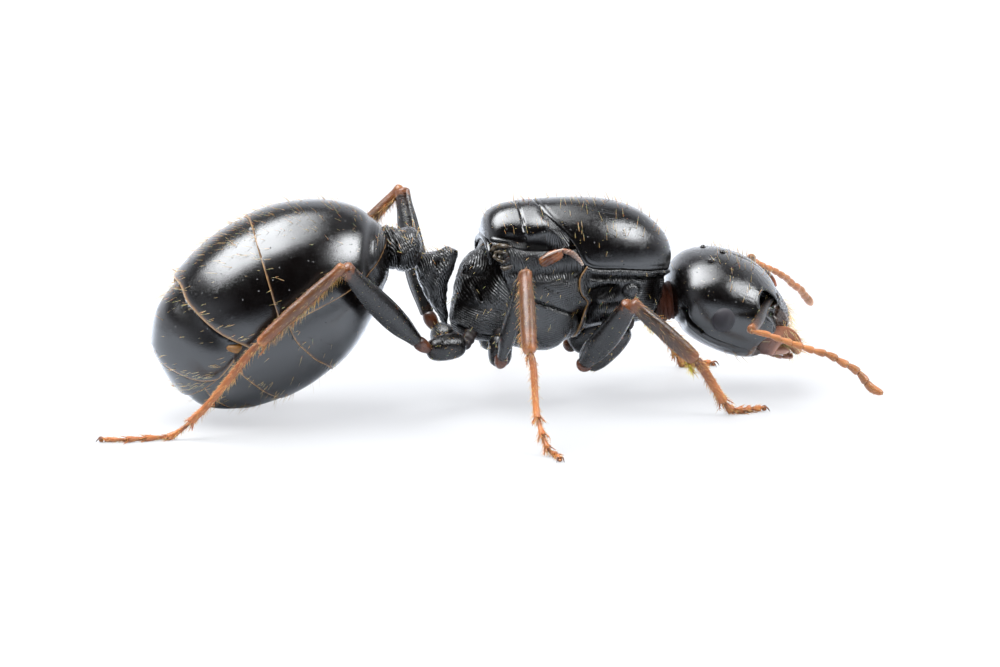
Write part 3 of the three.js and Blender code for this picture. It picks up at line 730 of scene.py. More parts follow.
# Colours at shares of a limb's length, and where they differ from the usual: how much light
# goes in, how fine the grain is, how deep, how mottled the colour is and how dense the horn
limbShells = {
    "coxaShell": dict(stops=[(0, black), (0.85, black), (1, (0.01, 0.004, 0.002))], roughness=0.26),
    "femurShell": dict(
        stops=[(0, umber), (0.08, black), (0.8, black), (0.92, umber), (0.98, rust)],
        roughness=0.27),
    "shinShell": dict(
        stops=[(0, rust), (0.08, rust), (0.22, (0.022, 0.01, 0.005)), (0.6, (0.034, 0.015, 0.007)),
        (0.85, tawny), (1, (0.17, 0.055, 0.016))], roughness=0.34, subsurface=0.1),
    "tawnyShin": dict(
        stops=[(0, (0.2, 0.075, 0.02)), (0.1, rust), (0.3, tawny), (0.65, tawny), (0.9, rust),
        (1, orange)], roughness=0.34, subsurface=0.15),
    "footShell": dict(
        stops=[(0, rust), (0.25, (0.19, 0.055, 0.013)), (0.6, copper), (1, copper)],
        roughness=0.38, subsurface=0.25),
    "jointHorn": dict(
        stops=[(0, (0.012, 0.004, 0.002)), (0.5, (0.08, 0.022, 0.007)), (1, (0.02, 0.006, 0.003))],
        roughness=0.3, subsurface=0.15),
    "spurHorn": dict(stops=[(0, rust), (1, orange)], roughness=0.34, subsurface=0.2),
    "scapeShell": dict(
        stops=[(0, umber), (0.1, soot), (0.7, soot), (0.86, (0.03, 0.012, 0.006)),
        (1, (0.2, 0.07, 0.022))], roughness=0.36),
    "beadShell": dict(
        stops=[(0, orange), (0.3, orange), (0.65, (0.24, 0.09, 0.03)), (0.9, (0.2, 0.078, 0.027)),
        (1, orange)], roughness=0.4, subsurface=0.25),
    "socketHorn": dict(
        stops=[(0, (0.004, 0.002, 0.001)), (0.55, umber), (1, (0.26, 0.07, 0.025))], roughness=0.3,
        subsurface=0.2),
    "jawHorn": dict(
        stops=[(0, (0.07, 0.03, 0.02)), (0.2, (0.11, 0.042, 0.024)), (0.4, (0.26, 0.09, 0.036)),
        (0.8, (0.34, 0.14, 0.07)), (1, (0.07, 0.02, 0.012))], roughness=0.32, subsurface=0.2,
        mottle=0.5),
    "mouthSkin": dict(
        stops=[(0, (0.15, 0.07, 0.045)), (0.5, (0.28, 0.14, 0.095)), (1, (0.32, 0.19, 0.14))],
        roughness=0.42, subsurface=0.3),
    "neckSkin": dict(
        stops=[(0, (0.008, 0.003, 0.0015)), (0.5, (0.06, 0.014, 0.005)),
        (1, (0.02, 0.006, 0.002))], roughness=0.5, grain=20.0, depth=0.006, density=1.25),
    # Its pale end also colours the edge along the stump's top: a painted highlight
    "scarSkin": dict(
        stops=[(0, (0.16, 0.06, 0.018)), (0.12, (0.07, 0.02, 0.006)), (0.4, (0.17, 0.055, 0.018)),
        (0.6, (0.13, 0.07, 0.048)), (1, (0.3, 0.23, 0.19))], roughness=0.3, subsurface=0.15,
        mottle=0.35),
    "oliveScar": dict(
        stops=[(0, (0.008, 0.005, 0.002)), (0.5, (0.035, 0.022, 0.008)),
        (1, (0.01, 0.005, 0.003))], roughness=0.3, subsurface=0.1, mottle=0.9),
    "flankSkin": dict(
        stops=[(0, (0.14, 0.06, 0.01)), (1, (0.34, 0.14, 0.022))], roughness=0.4, subsurface=0.2),
    "seamSkin": dict(
        stops=[(0, (0.006, 0.002, 0.0015)), (1, (0.012, 0.005, 0.003))], roughness=0.5),
    "clawHorn": dict(stops=[(0, orange), (0.5, rust), (1, (0.012, 0.004, 0.002))], roughness=0.25),
    "eyeFacets": dict(
        stops=[(0, (0.008, 0.006, 0.009)), (1, (0.011, 0.008, 0.0125))], roughness=0.36,
        grain=40.0, depth=0.0003, density=1.38),
    "ocellusGlass": dict(
        stops=[(0, (0.004, 0.003, 0.003)), (1, (0.012, 0.007, 0.005))], roughness=0.06, grain=30.0,
        depth=0.0002),
}

hairShells = {
    "goldHair": dict(root=(0.32, 0.19, 0.05), tip=(0.62, 0.48, 0.22), roughness=0.36),
    "footHair": dict(root=(0.26, 0.11, 0.025), tip=(0.5, 0.3, 0.08), roughness=0.4),
    "shinHair": dict(root=(0.1, 0.045, 0.012), tip=(0.4, 0.26, 0.08), roughness=0.4),
    "combHair": dict(root=(0.55, 0.4, 0.02), tip=(0.75, 0.62, 0.08), roughness=0.4),
}


def buildHair(name, root, tip, roughness):
    # Hair coloured from root to tip by the stretch mark, each patch of it a little differently
    material, tree, shader, where = newMaterial(name, 1.55, roughness)
    setInputs(tree, shader, Subsurface_Weight=0.2, Subsurface_Scale=0.03 * mm)
    stretch = marked(tree, "stretch")
    noise = addNode(tree, "TexNoise", at0=where, at2=2.5, at3=2.0)
    tone = rangeNode(tree, noise.outputs[0], 0.35, 0.65, -0.3, 0.3)
    share = mathNode(tree, "ADD", stretch, tone, clamp=True)
    tree.links.new(blendNode(tree, share, root, tip), shader.inputs["Base Color"])
    return material


materials = {}
for build, kinds in ((buildShell, shells), (buildRampShell, limbShells), (buildHair, hairShells)):
    materials.update({name: build(name, **form) for name, form in kinds.items()})
print("materials built")


# Putting surfaces into Blender


def makePiece(name, surface, material, slot=None, bake=None, **marks):
    # A mesh object from a surface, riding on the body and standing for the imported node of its
    # own name. Marks are values for each point, which the materials read by name
    table, faces = surface
    mesh = bpy.data.meshes.new(name)
    mesh.vertices.add(len(table))
    mesh.vertices.foreach_set("co", toScene(table[:, spot]).astype(np.float32).ravel())
    mesh.loops.add(faces.size)
    mesh.loops.foreach_set("vertex_index", faces.astype(np.int32).ravel())
    mesh.polygons.add(len(faces))
    mesh.polygons.foreach_set("loop_start", np.arange(0, faces.size, 3, dtype=np.int32))
    mesh.update(calc_edges=True)
    mesh.polygons.foreach_set("use_smooth", np.ones(len(faces), bool))
    for label, values in marks.items():
        attribute = mesh.attributes.new(label, "FLOAT", "POINT")
        attribute.data.foreach_set("value", np.asarray(values, np.float32))
    if bake is not None:
        layer = mesh.uv_layers.new(name="OFBake")
        layer.data.foreach_set("uv", bake[faces.ravel()].astype(np.float32).ravel())
    mesh.materials.append(materials[material])
    piece = bpy.data.objects.new(name + "_surface", mesh)
    bpy.context.scene.collection.objects.link(piece)
    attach(piece, "root")
    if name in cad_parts:
        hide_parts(name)


def makeLimb(name, surface, material, slot):
    # A piece coloured along its own length
    makePiece(name, surface, material, slot, stretch=surface[0][:, lengthwise])


def makeCore(name, form, steps, sunk):
    # The skin under a row of plates: their whole form, sunk
    core = raised(*railSurface(form, endShares(steps), steps), -sunk)
    makePiece(name, core, "seamSkin", "neck", stretch=np.full(len(core[0]), 0.5))


# Hairs: curved tapering spikes with three sides, joined into coats. Each kind has its coat,
# length, width, lean from upright in degrees, bend, and how far its ways stray
hairKinds = {
    "backDown": ("goldHair", 0.14, 0.007, 66, 0.05, 0.25),
    "bellyHair": ("goldHair", 0.3, 0.007, 42, 0.05, 0.25),
    "rimRow": ("goldHair", 0.22, 0.008, 58, 0.1, 0.12),
    "backHair": ("goldHair", 0.27, 0.009, 50, 0.12, 0.15),
    "tailHair": ("goldHair", 0.34, 0.012, 42, 0.12, 0.25),
    "domeHair": ("goldHair", 0.3, 0.013, 38, 0.05, 0.15),
    "domeDown": ("goldHair", 0.07, 0.009, 60, 0.15, 0.25),
    "sideDown": ("goldHair", 0.16, 0.009, 50, 0.2, 0.25),
    "knotHair": ("goldHair", 0.26, 0.015, 35, 0.2, 0.25),
    "browHair": ("goldHair", 0.3, 0.012, 30, 0.1, 0.12),
    "headDown": ("goldHair", 0.045, 0.009, 55, 0.2, 0.25),
    "fringe": ("goldHair", 0.4, 0.011, 46, 0.45, 0.25),
    "chinHair": ("goldHair", 0.3, 0.014, 40, 0.4, 0.25),
    "jawHair": ("goldHair", 0.26, 0.011, 54, 0.35, 0.25),
    "mouthHair": ("goldHair", 0.13, 0.011, 45, 0.2, 0.25),
    "comb": ("combHair", 0.17, 0.012, 45, 0.2, 0.25),
    "spurDown": ("footHair", 0.08, 0.012, 45, 0.2, 0.25),
    "coxaDown": ("goldHair", 0.12, 0.009, 52, 0.2, 0.25),
    "thighDown": ("goldHair", 0.09, 0.008, 68, 0.1, 0.25),
    "shinDown": ("shinHair", 0.12, 0.007, 72, 0.05, 0.25),
    "footDown": ("footHair", 0.11, 0.01, 54, 0.1, 0.25),
    "shinBristle": ("footHair", 0.25, 0.009, 46, 0.1, 0.25),
    "footBristle": ("footHair", 0.19, 0.011, 50, 0.1, 0.25),
    "scapeDown": ("goldHair", 0.08, 0.008, 60, 0.1, 0.25),
    "beadDown": ("footHair", 0.045, 0.006, 62, 0.1, 0.25),
}
hairShape = {
    "lengths": (0.6, 1.15),    # the shortest and longest, in parts of the kind's length
    "leanStray": 0.14,
    "rootDepth": 0.012,
    "stations": (0.0, 0.4, 0.75, 1.0),    # shares of the length: three rings and the tip
    "patch": 0.0013,           # the half width of a root's patch on the unwrap
    "tiles": dict(across=8, margin=0.006, size=0.113),
    "floorGap": 0.004,
}
coats = {"goldHair": [], "shinHair": [], "footHair": [], "combHair": []}
coatTiles = {}


def spikes(rows, skins, ways, seed, length, width, lean, curl, stray):
    # Spikes from rows of a surface: each runs along facing * cos(lean) + way * sin(lean), bends
    # towards its way by curl times the share squared, and thins as 1 - share^1.6. skins are the
    # roots' places on the unwrapped skin
    chance = np.random.default_rng(seed)
    count = len(rows)
    roots, facings = rows[:, spot], rows[:, facing]
    lengths = length * chance.uniform(*hairShape["lengths"], count)
    ways = np.broadcast_to(ways, (count, 3)) + chance.normal(0, stray, (count, 3))
    ways = unitRows(ways - (ways * facings).sum(1, keepdims=True) * facings)
    leans = np.radians(lean) + chance.normal(0, hairShape["leanStray"], count)
    start = facings * np.cos(leans)[:, None] + ways * np.sin(leans)[:, None]
    share = np.array(hairShape["stations"])
    spine = (roots[:, None] - facings[:, None] * hairShape["rootDepth"]
             + lengths[:, None, None] * (start[:, None] * share[:, None]
                                         + ways[:, None] * (curl * share**2)[:, None]))
    aside = unitRows(np.cross(start, facings + 1e-6))
    over = np.cross(aside, start)
    turns = 2 * np.pi * np.arange(3) / 3
    ring = aside[:, None] * np.cos(turns)[:, None] + over[:, None] * np.sin(turns)[:, None]
    radius = width * (1 - share[:3] ** 1.6) / 2
    rings = spine[:, :3, None] + ring[:, None] * radius[:, None, None]
    points = np.concatenate([rings.reshape(count, 9, 3), spine[:, 3:]], 1).reshape(-1, 3)
    corners = np.array([[0, 1, 4], [0, 4, 3], [1, 2, 5], [1, 5, 4], [2, 0, 3], [2, 3, 5],
                        [3, 4, 7], [3, 7, 6], [4, 5, 8], [4, 8, 7], [5, 3, 6], [5, 6, 8],
                        [6, 7, 9], [7, 8, 9], [8, 6, 9], [0, 2, 1]])
    corners = outward(points[:10], corners)
    faces = (corners[None] + 10 * np.arange(count)[:, None, None]).reshape(-1, 3)
    shares = np.tile(np.repeat(share, [3, 3, 3, 1]), count)
    angle = np.tile(np.append(np.tile(turns, 3), 0.0), count)
    patch = hairShape["patch"] * np.stack([np.cos(angle), np.sin(angle)], 1)
    return points, faces, shares, np.repeat(skins, 10, axis=0) + patch * (1 - 0.7 * shares[:, None])


def sown(surface, count, seed, weight=None):
    # Random rows of a surface, as likely as their share of its area times a weight
    table, faces = surface
    corners = table[faces][:, :, spot]
    first, second = corners[:, 1] - corners[:, 0], corners[:, 2] - corners[:, 0]
    area = np.linalg.norm(np.cross(first, second), axis=1)
    if weight is not None:
        area = area * weight[faces].mean(1)
    chance = np.random.default_rng(seed)
    picked = chance.choice(len(faces), count, p=area / area.sum())
    shares = chance.dirichlet([1, 1, 1], count)
    rows = np.einsum("ij,ijk->ik", shares, table[faces[picked]])
    rows[:, facing] = unitRows(rows[:, facing])
    return rows


def tileFor(skinName):
    # Each skin's own square of a coat's unwrap, eight to a side
    index = coatTiles.setdefault(skinName, len(coatTiles))
    across, margin = hairShape["tiles"]["across"], hairShape["tiles"]["margin"]
    return np.array([index % across, index // across]) / across + margin


def growHairs(kind, skinName, surface, count, ways, seeds, weight=None):
    # Sows one kind of hair. The first seed places the roots and the second bends the hairs
    coat, *form = hairKinds[kind]
    rows = sown(surface, count, seeds[0], weight)
    skins = tileFor(skinName) + rows[:, skin] * hairShape["tiles"]["size"]
    coats[coat].append(spikes(rows, skins, ways, seeds[1], *form))


def makeCoats():
    # One piece for each coat, its hairs kept above the floor
    for name, parts in coats.items():
        points, faces, shares, unwrapped = zip(*parts)
        starts = np.cumsum([0] + [len(part) for part in points[:-1]])
        faces = np.vstack([part + start for part, start in zip(faces, starts)])
        table = np.zeros((sum(map(len, points)), columnCount))
        table[:, spot] = np.vstack(points)
        table[:, 2] = np.maximum(table[:, 2], hairShape["floorGap"])
        makePiece(name, (table, faces), name, stretch=np.concatenate(shares),
                  bake=np.vstack(unwrapped))
        print(name, len(faces), "triangles")


# Gaster: plates of the back over plates of the belly, each tucked under the one before it

gaster = {
    "upper": [
        (-2.7, 4.0), (-2.8, 4.4), (-3.13, 4.76), (-3.61, 5.0), (-4.21, 5.12), (-5.04, 5.1),
        (-5.99, 4.84), (-6.95, 4.28), (-7.67, 3.6), (-8.12, 2.93), (-8.34, 2.3), (-8.38, 1.85)],
    "lower": [
        (-2.7, 4.0), (-2.7, 3.45), (-2.85, 2.84), (-3.17, 2.23), (-3.65, 1.5), (-4.38, 0.9),
        (-5.32, 0.43), (-6.28, 0.22), (-7.0, 0.24), (-7.7, 0.62), (-8.2, 1.3), (-8.38, 1.85)],
    "halfWidths": [1.9, 1.98, 2.0, 1.95, 1.8],
    "squareness": 1.0,
    "bluntness": 2.1,
    "soften": 0.03,
    "steps": 240,
    "sides": 300,
    "flank": [
        (-2.7, 4.3), (-3.0, 3.95), (-3.35, 3.6), (-3.97, 3.26), (-4.58, 3.0), (-5.16, 2.75),
        (-5.7, 2.45), (-6.25, 2.1), (-6.6, 1.85), (-6.8, 1.55), (-7.05, 1.2), (-7.45, 0.8),
        (-8.2, 0.2)],
    "backLines": [
        [(-5.9, 5.6), (-6.05, 4.9), (-6.05, 4.45), (-5.97, 4.0), (-5.86, 3.5), (-5.68, 2.8),
        (-5.3, 1.6)], [(-8.8, 3.5), (-7.81, 3.43), (-7.7, 3.1), (-7.46, 2.79), (-7.03, 2.41),
        (-6.39, 2.09), (-5.3, 1.6)], [(-9.2, 1.85), (-8.3, 1.5), (-7.9, 1.3), (-7.55, 1.18),
        (-7.3, 1.17), (-7.08, 1.22), (-6.85, 1.36), (-6.3, 1.6)]],
    "bellyLines": [
        [(-5.6, 3.2), (-5.42, 2.55), (-5.24, 2.16), (-5.0, 1.9), (-4.75, 1.65), (-4.3, 1.3),
        (-3.6, 0.2)], [(-7.0, 2.3), (-6.74, 1.72), (-6.56, 1.44), (-6.25, 1.15), (-5.9, 0.85),
        (-5.2, 0.36), (-4.8, -0.2)], [(-7.75, 1.7), (-7.43, 1.12), (-7.3, 0.88), (-7.05, 0.63),
        (-6.65, 0.38), (-6.04, 0.15), (-5.6, -0.3)]],
    "tuck": 0.16,          # how far a plate runs on under the one before it
    # How far each plate's front lies below the one before it, and how wide its pale rim is
    "sinks": {"tergite": (0.0, 0.03, 0.12, 0.03), "sternite": (0.0, 0.015, 0.02, 0.02)},
    "rimWidths": {"tergite": (0.042, 0.078, 0.05, 0.04), "sternite": (0.05, 0.05, 0.05, 0.04)},
    "sinkReach": 0.75,     # over how much length it rises again
    "wall": 0.035,
    "middle": (-5.5, 0.0, 2.7),
    "backHairs": (130, 110, 34, 10),
    "tailHairs": (14, 12, 8, 6),
    "coreDepth": 0.15,
    # The skin shows amber where the second plate leaves the belly
    "gap": dict(centre=(-6.58, -1.66, 2.05), halfSizes=(0.27, 0.12, 0.12), rings=24, sides=30),
}


def gasterRelief(table):
    # The ringed collar behind the waist, and a faint unevenness
    x, z = table[:, 0], table[:, 2]
    past = np.hypot(x + 2.62, (z - 3.95) * 0.75)
    collar = np.cos(2 * np.pi * past / 0.07) * band(past, 0.4, 0.2, 0.006)
    dent = band(past, 0.75, 0.16, -0.04)
    return collar + dent + 0.004 * ripple(table[:, spot], 1.3, 3)


def gasterPlates():
    # Each plate's kind, number, surface and distance to its free rim. A plate starts a tuck's
    # length under the one before it and ends at its own line
    table, faces = railSurface(gaster, endShares(gaster["steps"]), gaster["sides"])
    over = beyond(table, gaster["flank"], (0.3, 1))
    backs = [beyond(table, line, (0.8, 0.6)) for line in gaster["backLines"]]
    bellies = [beyond(table, line, (0.9, 0.45)) for line in gaster["bellyLines"]]
    common = gasterRelief(table)
    for kind, half, lines in (("tergite", over, backs), ("sternite", -over, bellies)):
        lower = kind == "sternite"
        for plate in range(len(lines) + 1):
            columns = [half + (gaster["tuck"] if lower else 0.0)]
            height = common.copy()
            rim = np.full(len(table), 9.0) if lower else half.copy()
            if plate > 0:
                behind = -lines[plate - 1]
                columns.append(behind + gaster["tuck"])
                rise = ease(behind, 0.0, gaster["sinkReach"])
                height -= gaster["sinks"][kind][plate] * (1 - rise) + 0.02 * (behind < 0.03)
            if plate < len(lines):
                columns.append(lines[plate])
                rim = np.minimum(rim, lines[plate])
                height += band(lines[plate], 0.14, 0.09, 0.004)
            height += rolled(rim, 0.016, 0.03)
            if lower:
                height -= 0.055 * (1 - ease(half, 0.0, 0.5))
            surface, edge, _ = cutBy(table, faces, columns, height, rim)
            yield kind, plate, surface, edge


def cutBy(table, faces, columns, height, rim):
    # The part of a surface inside all the given columns, raised by its heights. The rim column
    # comes along, as the distance to the plate's free edge
    wide = np.column_stack([table, height, rim, *columns])
    for column in range(columnCount + 2, wide.shape[1]):
        wide, faces = cutAlong(wide, faces, wide[:, column])
    height, edge = wide[:, columnCount], wide[:, columnCount + 1]
    return raised(wide[:, :columnCount], faces, height), edge, depthMark(height)


def depthMark(heights):
    # How far a place lies down in a groove, from 0 to 1. The shells dim their reflections by it, as
    # painted shade
    return ease(-heights, 0.012, 0.075)


def makePlate(name, surface, edge, material, slot, form, rimWidth, **marks):
    # A cut plate given its wall, with a mark that falls off from its free rim
    marks["rim"] = np.exp(-(np.maximum(edge, 0) / rimWidth) ** 2)
    plate = walled(*surface, form["wall"], form["middle"])
    makePiece(name, plate, material, slot,
              **{label: np.tile(values, 2) for label, values in marks.items()})


def makeGaster():
    # The plates with short hairs all over, a row of longer ones before the rim, and long ones
    # on top and at the tail
    for index, (kind, plate, surface, edge) in enumerate(gasterPlates()):
        makePlate(f"gaster_{kind}_{plate + 1}", surface, edge, "gasterShell", "glossy_shell",
                  gaster, gaster["rimWidths"][kind][plate])
        back = kind == "tergite"
        table = surface[0]
        allOver = ease(table[:, upward], 0.0, 0.9) + (0.12 if back else 1)
        growHairs("backDown" if back else "bellyHair", "gaster", surface, 56 if back else 30,
                  (-1, 0, -0.3), (100 + index, 200 + index), allOver)
        row = band(edge, 0.2, 0.09, 1.0) * (edge < 1)
        if row.sum() > 5:
            growHairs("rimRow", "gaster", surface, 60 if back else 34, (-1, 0, -0.3),
                      (300 + index, 400 + index), row)
        top = ease(table[:, upward], 0.5, 0.9)
        if back and top.sum() > 50:
            growHairs("backHair", "gaster", surface, gaster["backHairs"][plate], (-1, 0, 0),
                      (500 + index, 600 + index), top)
            tail = ease(-table[:, 3], 0.6, 0.9) + 0.02
            growHairs("tailHair", "gaster", surface, gaster["tailHairs"][plate], (-1, 0, 0.2),
                      (520 + index, 620 + index), tail)
    makeCore("gaster_membrane", gaster, 60, gaster["coreDepth"])
    gap, faces = egg(**gaster["gap"])
    gap = raised(gap, faces, 0.05 * ripple(gap[:, spot], 0.3, 7))
    makeLimb("flank_membrane", joined(gap, mirrored(gap)), "flankSkin", "neck")


# Trunk: the plates of the middle body, parted by their sutures

trunk = {
    "upper": [
        (-1.22, 2.15), (-1.17, 2.6), (-1.05, 3.2), (-0.82, 3.6), (-0.5, 3.85), (-0.42, 4.15),
        (-0.4, 4.45), (-0.19, 4.71), (0.36, 4.88), (1.16, 4.93), (1.94, 4.92), (2.8, 4.8),
        (3.48, 4.5), (3.96, 4.05), (4.15, 3.6), (4.06, 3.28), (3.9, 3.07), (3.94, 2.7),
        (3.9, 2.35)],
    "lower": [
        (-1.22, 2.15), (-1.12, 1.8), (-0.73, 1.62), (-0.19, 1.53), (0.44, 1.36), (1.1, 1.28),
        (1.5, 1.47), (1.95, 1.75), (2.5, 1.84), (3.2, 1.84), (3.67, 2.0), (3.9, 2.35)],
    "halfWidths": [0.85, 0.98, 1.16, 1.27, 1.28, 1.22, 1.12],
    "squareness": 0.9,
    "bluntness": 3.2,
    "soften": 0.012,
    "scutum": [
        (0.6, 5.4), (0.82, 4.93), (0.99, 4.67), (1.21, 4.44), (1.55, 4.04), (1.81, 3.53),
        (2.77, 3.38), (3.71, 3.24), (4.6, 3.1)],
    "scutellum": [(-1.4, 4.1), (-0.47, 4.13), (-0.1, 4.08), (0.2, 3.95), (0.7, 3.9), (1.8, 3.95)],
    "propodeum": [(-0.7, 4.4), (-0.33, 3.9), (-0.2, 3.45), (0.06, 2.76), (0.15, 1.98), (0.12, 0.9)],
    "pronotum": [
        (2.2, 3.9), (1.81, 3.5), (1.64, 3.2), (1.7, 2.85), (1.88, 2.61), (1.77, 2.24), (1.6, 1.0)],
    "wall": 0.04,
    "middle": (1.3, 0.0, 3.0),
    "rimWidth": 0.028,
    "coreDepth": 0.2,
}


def scutumRelief(table, edge):
    # Smooth dome: two short side lines, a faint middle line, pits where hairs stand
    line = crease(table, [(2.0, 0.62), (2.7, 0.66)], 0.03, 0.016, fromAbove)
    middle = crease(table, [(3.9, 0.0), (3.0, 0.0)], 0.03, 0.01, fromAbove)
    return (line + middle + rolled(edge, 0.03, 0.02) + band(edge, 0.1, 0.03, -0.01)
            + 0.003 * ripple(table[:, spot], 0.9, 5))


def scutellumRelief(table, edge):
    # The dome at the back, a row of pits before it, and the bulging side plates with a fan
    y, z = np.abs(table[:, 1]), table[:, 2]
    dome = swell(table, (-0.05, 0.0, 4.5), (0.5, 0.9, 0.5), 0.05)
    side = swell(table, (1.12, 0.8, 4.36), (0.42, 0.4, 0.32), 0.13) * ease(edge, 0.0, 0.2)
    pitLine = [(0.36, 5.0), (0.4, 4.55), (0.41, 4.31), (0.45, 4.05), (0.52, 3.7), (0.57, 3.5)]
    gap, _ = nearest(table[:, [0, 2]], curveAt(pitLine, np.linspace(0, 1, 30)))
    pits = 0.5 + 0.5 * np.cos(2 * np.pi * (z + 0.6 * y) / 0.1)
    row = band(gap, 0, 0.028, -1.0) * (0.025 + 0.022 * pits)
    below = swell(table, (0.75, 0.95, 4.02), (0.42, 0.3, 0.2), -0.14)
    shade = swell(table, (0.0, 0.95, 4.2), (0.3, 0.3, 0.16), -0.07)
    crest = swell(table, (-0.3, 0.6, 4.12), (0.35, 0.5, 0.05), 0.035)
    return dome + side + row + below + shade + rolled(edge, 0.03, 0.02) + crest


def scutellumRibs(table):
    # Ribs that fan out from the side plate's corner, and slanted ones low down
    x, z = table[:, 0], table[:, 2]
    cornerX, cornerZ = 0.98, 4.8
    angle = np.arctan2(z - cornerZ, x - cornerX)
    far = np.hypot(x - cornerX, z - cornerZ)
    fan = ease(x, 0.86, 1.0) * ease(far, 0.1, 0.25)
    low = ease(4.15 - z, 0, 0.2) * (1 - fan)
    return ribsOf(1.0, (angle / 0.075, 0.6 * fan), ((x + 0.4 * z) / 0.05, 0.7 * low))


def propodeumRelief(table, edge):
    # A rounded upper hump, a valley with the slit of a breathing hole, and a lower rim
    points = table[:, spot]
    x, z = table[:, 0], table[:, 2]
    slit = crease(table, [(-0.77, 3.0), (-0.69, 2.84), (-0.65, 2.7)], 0.035, 0.11)
    lip = crease(table, [(-0.86, 3.04), (-0.78, 2.84), (-0.74, 2.7)], 0.05, -0.04)
    hump = swell(table, (-0.62, 0.75, 3.5), (0.3, 0.4, 0.26), 0.05)
    valley = crease(table, [(-0.5, 3.75), (-0.4, 3.4), (-0.44, 3.1), (-0.6, 2.9)], 0.11, 0.045)
    outer = ease(np.abs(table[:, 1]), 0.1, 0.9)
    rounding = -0.14 * outer * ease(0.6 * table[:, upward] - table[:, 3], -0.1, 1.0)
    bulge = swell(table, (-0.15, 1.05, 2.9), (0.3, 0.6, 0.5), 0.06)
    lower = crease(table, [(-1.1, 2.0), (-0.6, 1.78), (0.0, 1.74)], 0.05, 0.06)
    roll = rolled(edge, 0.05, 0.035)
    behind = 0.05 * swell(table, (-1.15, 0.0, 3.0), (0.25, 0.45, 0.7), -1.0)
    rough = 0.011 * ripple(points, 0.28, 13) + 0.005 * ripple(points, 0.12, 14)
    return slit + lip + hump + valley + rounding + bulge + lower + roll + behind + rough


def propodeumRibs(table):
    # Ribs bowed round the side, level below and slanted across the hump
    points = table[:, spot]
    x, z = table[:, 0], table[:, 2]
    warp = 0.035 * ripple(points, 0.9, 11) + 0.012 * ripple(points, 0.3, 12)
    bowed = np.hypot((x - 0.75) * 0.9, z - 3.55) + warp
    level = z + 0.22 * (x + 0.4) - 0.25 * (x + 0.4) ** 2 + warp
    across = x - 0.5 * (z - 3.5) + warp
    low = ease(2.75 - z, 0.0, 0.4)
    high = ease(z, 3.1, 3.4) * ease(-x, 0.35, 0.5)
    return ribsOf(0.062, (bowed, (1 - low) * (1 - high)), (level, low), (across, high))


def mesopleuronRelief(table, edge):
    # Two smooth plates with a curved groove between them, sunk places above and before them
    points, x = table[:, spot], table[:, 0]
    groove = crease(table, [(0.3, 2.78), (0.65, 2.69), (0.99, 2.56), (1.3, 2.43), (1.55, 2.32),
                            (1.85, 2.2)], 0.036, 0.075)
    teeth = crease(table, [(0.3, 2.82), (0.62, 2.76), (1.0, 2.62)], 0.07, 0.02)
    teeth = teeth * np.cos(x * 2 * np.pi / 0.09)
    hook = crease(table, [(0.86, 3.08), (0.98, 2.98), (1.12, 2.94)], 0.03, 0.03)
    top = crease(table, [(0.1, 3.42), (0.6, 3.36), (1.1, 3.38), (1.6, 3.44)], 0.13, 0.05)
    corner = swell(table, (1.72, 1.2, 2.3), (0.22, 0.5, 0.2), -0.12)
    plate = swell(table, (1.1, 1.25, 2.98), (0.55, 0.6, 0.28), 0.06)
    lowPlate = swell(table, (0.9, 1.1, 2.0), (0.75, 0.7, 0.45), 0.06)
    front = crease(table, [(1.5, 2.3), (1.58, 1.9), (1.45, 1.5)], 0.07, 0.05)
    back = crease(table, [(0.28, 3.1), (0.24, 2.6), (0.3, 2.0), (0.4, 1.5)], 0.04, -0.035)
    behind = crease(table, [(0.2, 3.1), (0.16, 2.6), (0.2, 2.0)], 0.05, 0.07)
    roll = rolled(edge, 0.05, 0.04)
    return (groove + teeth + hook + top + corner + plate + lowPlate + front + back + behind + roll
            + 0.004 * ripple(points, 0.3, 23))


def mesopleuronRibs(table):
    # Slanted ribs behind and above, faint ones elsewhere
    points = table[:, spot]
    x, z = table[:, 0], table[:, 2]
    warp = 0.04 * ripple(points, 0.8, 21) + 0.015 * ripple(points, 0.3, 22)
    rear = ease(0.9 - x, 0, 0.5) * ease(3.25 - z, 0, 0.2)
    upper = ease(z, 3.1, 3.3)
    return ribsOf(0.062, (z + 0.35 * x + warp, 0.8 * rear), (x + 0.2 * z + warp, 0.8 * upper),
                  (z - 0.3 * x + warp, 0.25 + 0 * x))


def pronotumRelief(table, edge):
    # A shoulder ridge close under the dome, a deep hollow and a round boss before it
    points = table[:, spot]
    x, z = table[:, 0], table[:, 2]
    ridge = crease(table, [(1.95, 3.37), (2.51, 3.29), (3.12, 3.22), (3.65, 3.1)], 0.03, -0.04)
    below = crease(table, [(2.0, 3.24), (2.6, 3.16), (3.3, 3.08)], 0.06, 0.03)
    hollow = swell(table, (2.34, 1.25, 2.87), (0.37, 0.7, 0.17), -0.17, 3)
    around = np.hypot((x - 2.98) / 0.19, (z - 2.83) / 0.16)
    boss = 0.07 * (1 - ease(around, 0.7, 1.0)) + band(around, 1.15, 0.16, -0.05)
    rear = swell(table, (1.95, 1.25, 2.45), (0.16, 0.6, 0.3), -0.09)
    lowHollow = swell(table, (2.6, 1.2, 2.45), (0.6, 0.6, 0.13), -0.07)
    neckSide = swell(table, (3.6, 0.9, 2.75), (0.25, 0.8, 0.35), -0.1)
    lip = band(edge, 0.05, 0.05, 0.05) + band(edge, 0.2, 0.06, -0.05)
    front = crease(table, [(3.75, 3.2), (3.7, 2.7), (3.72, 2.2)], 0.1, 0.03)
    return (ridge + below + hollow + boss + rear + lowHollow + neckSide + lip + front
            + 0.005 * ripple(points, 0.2, 33))


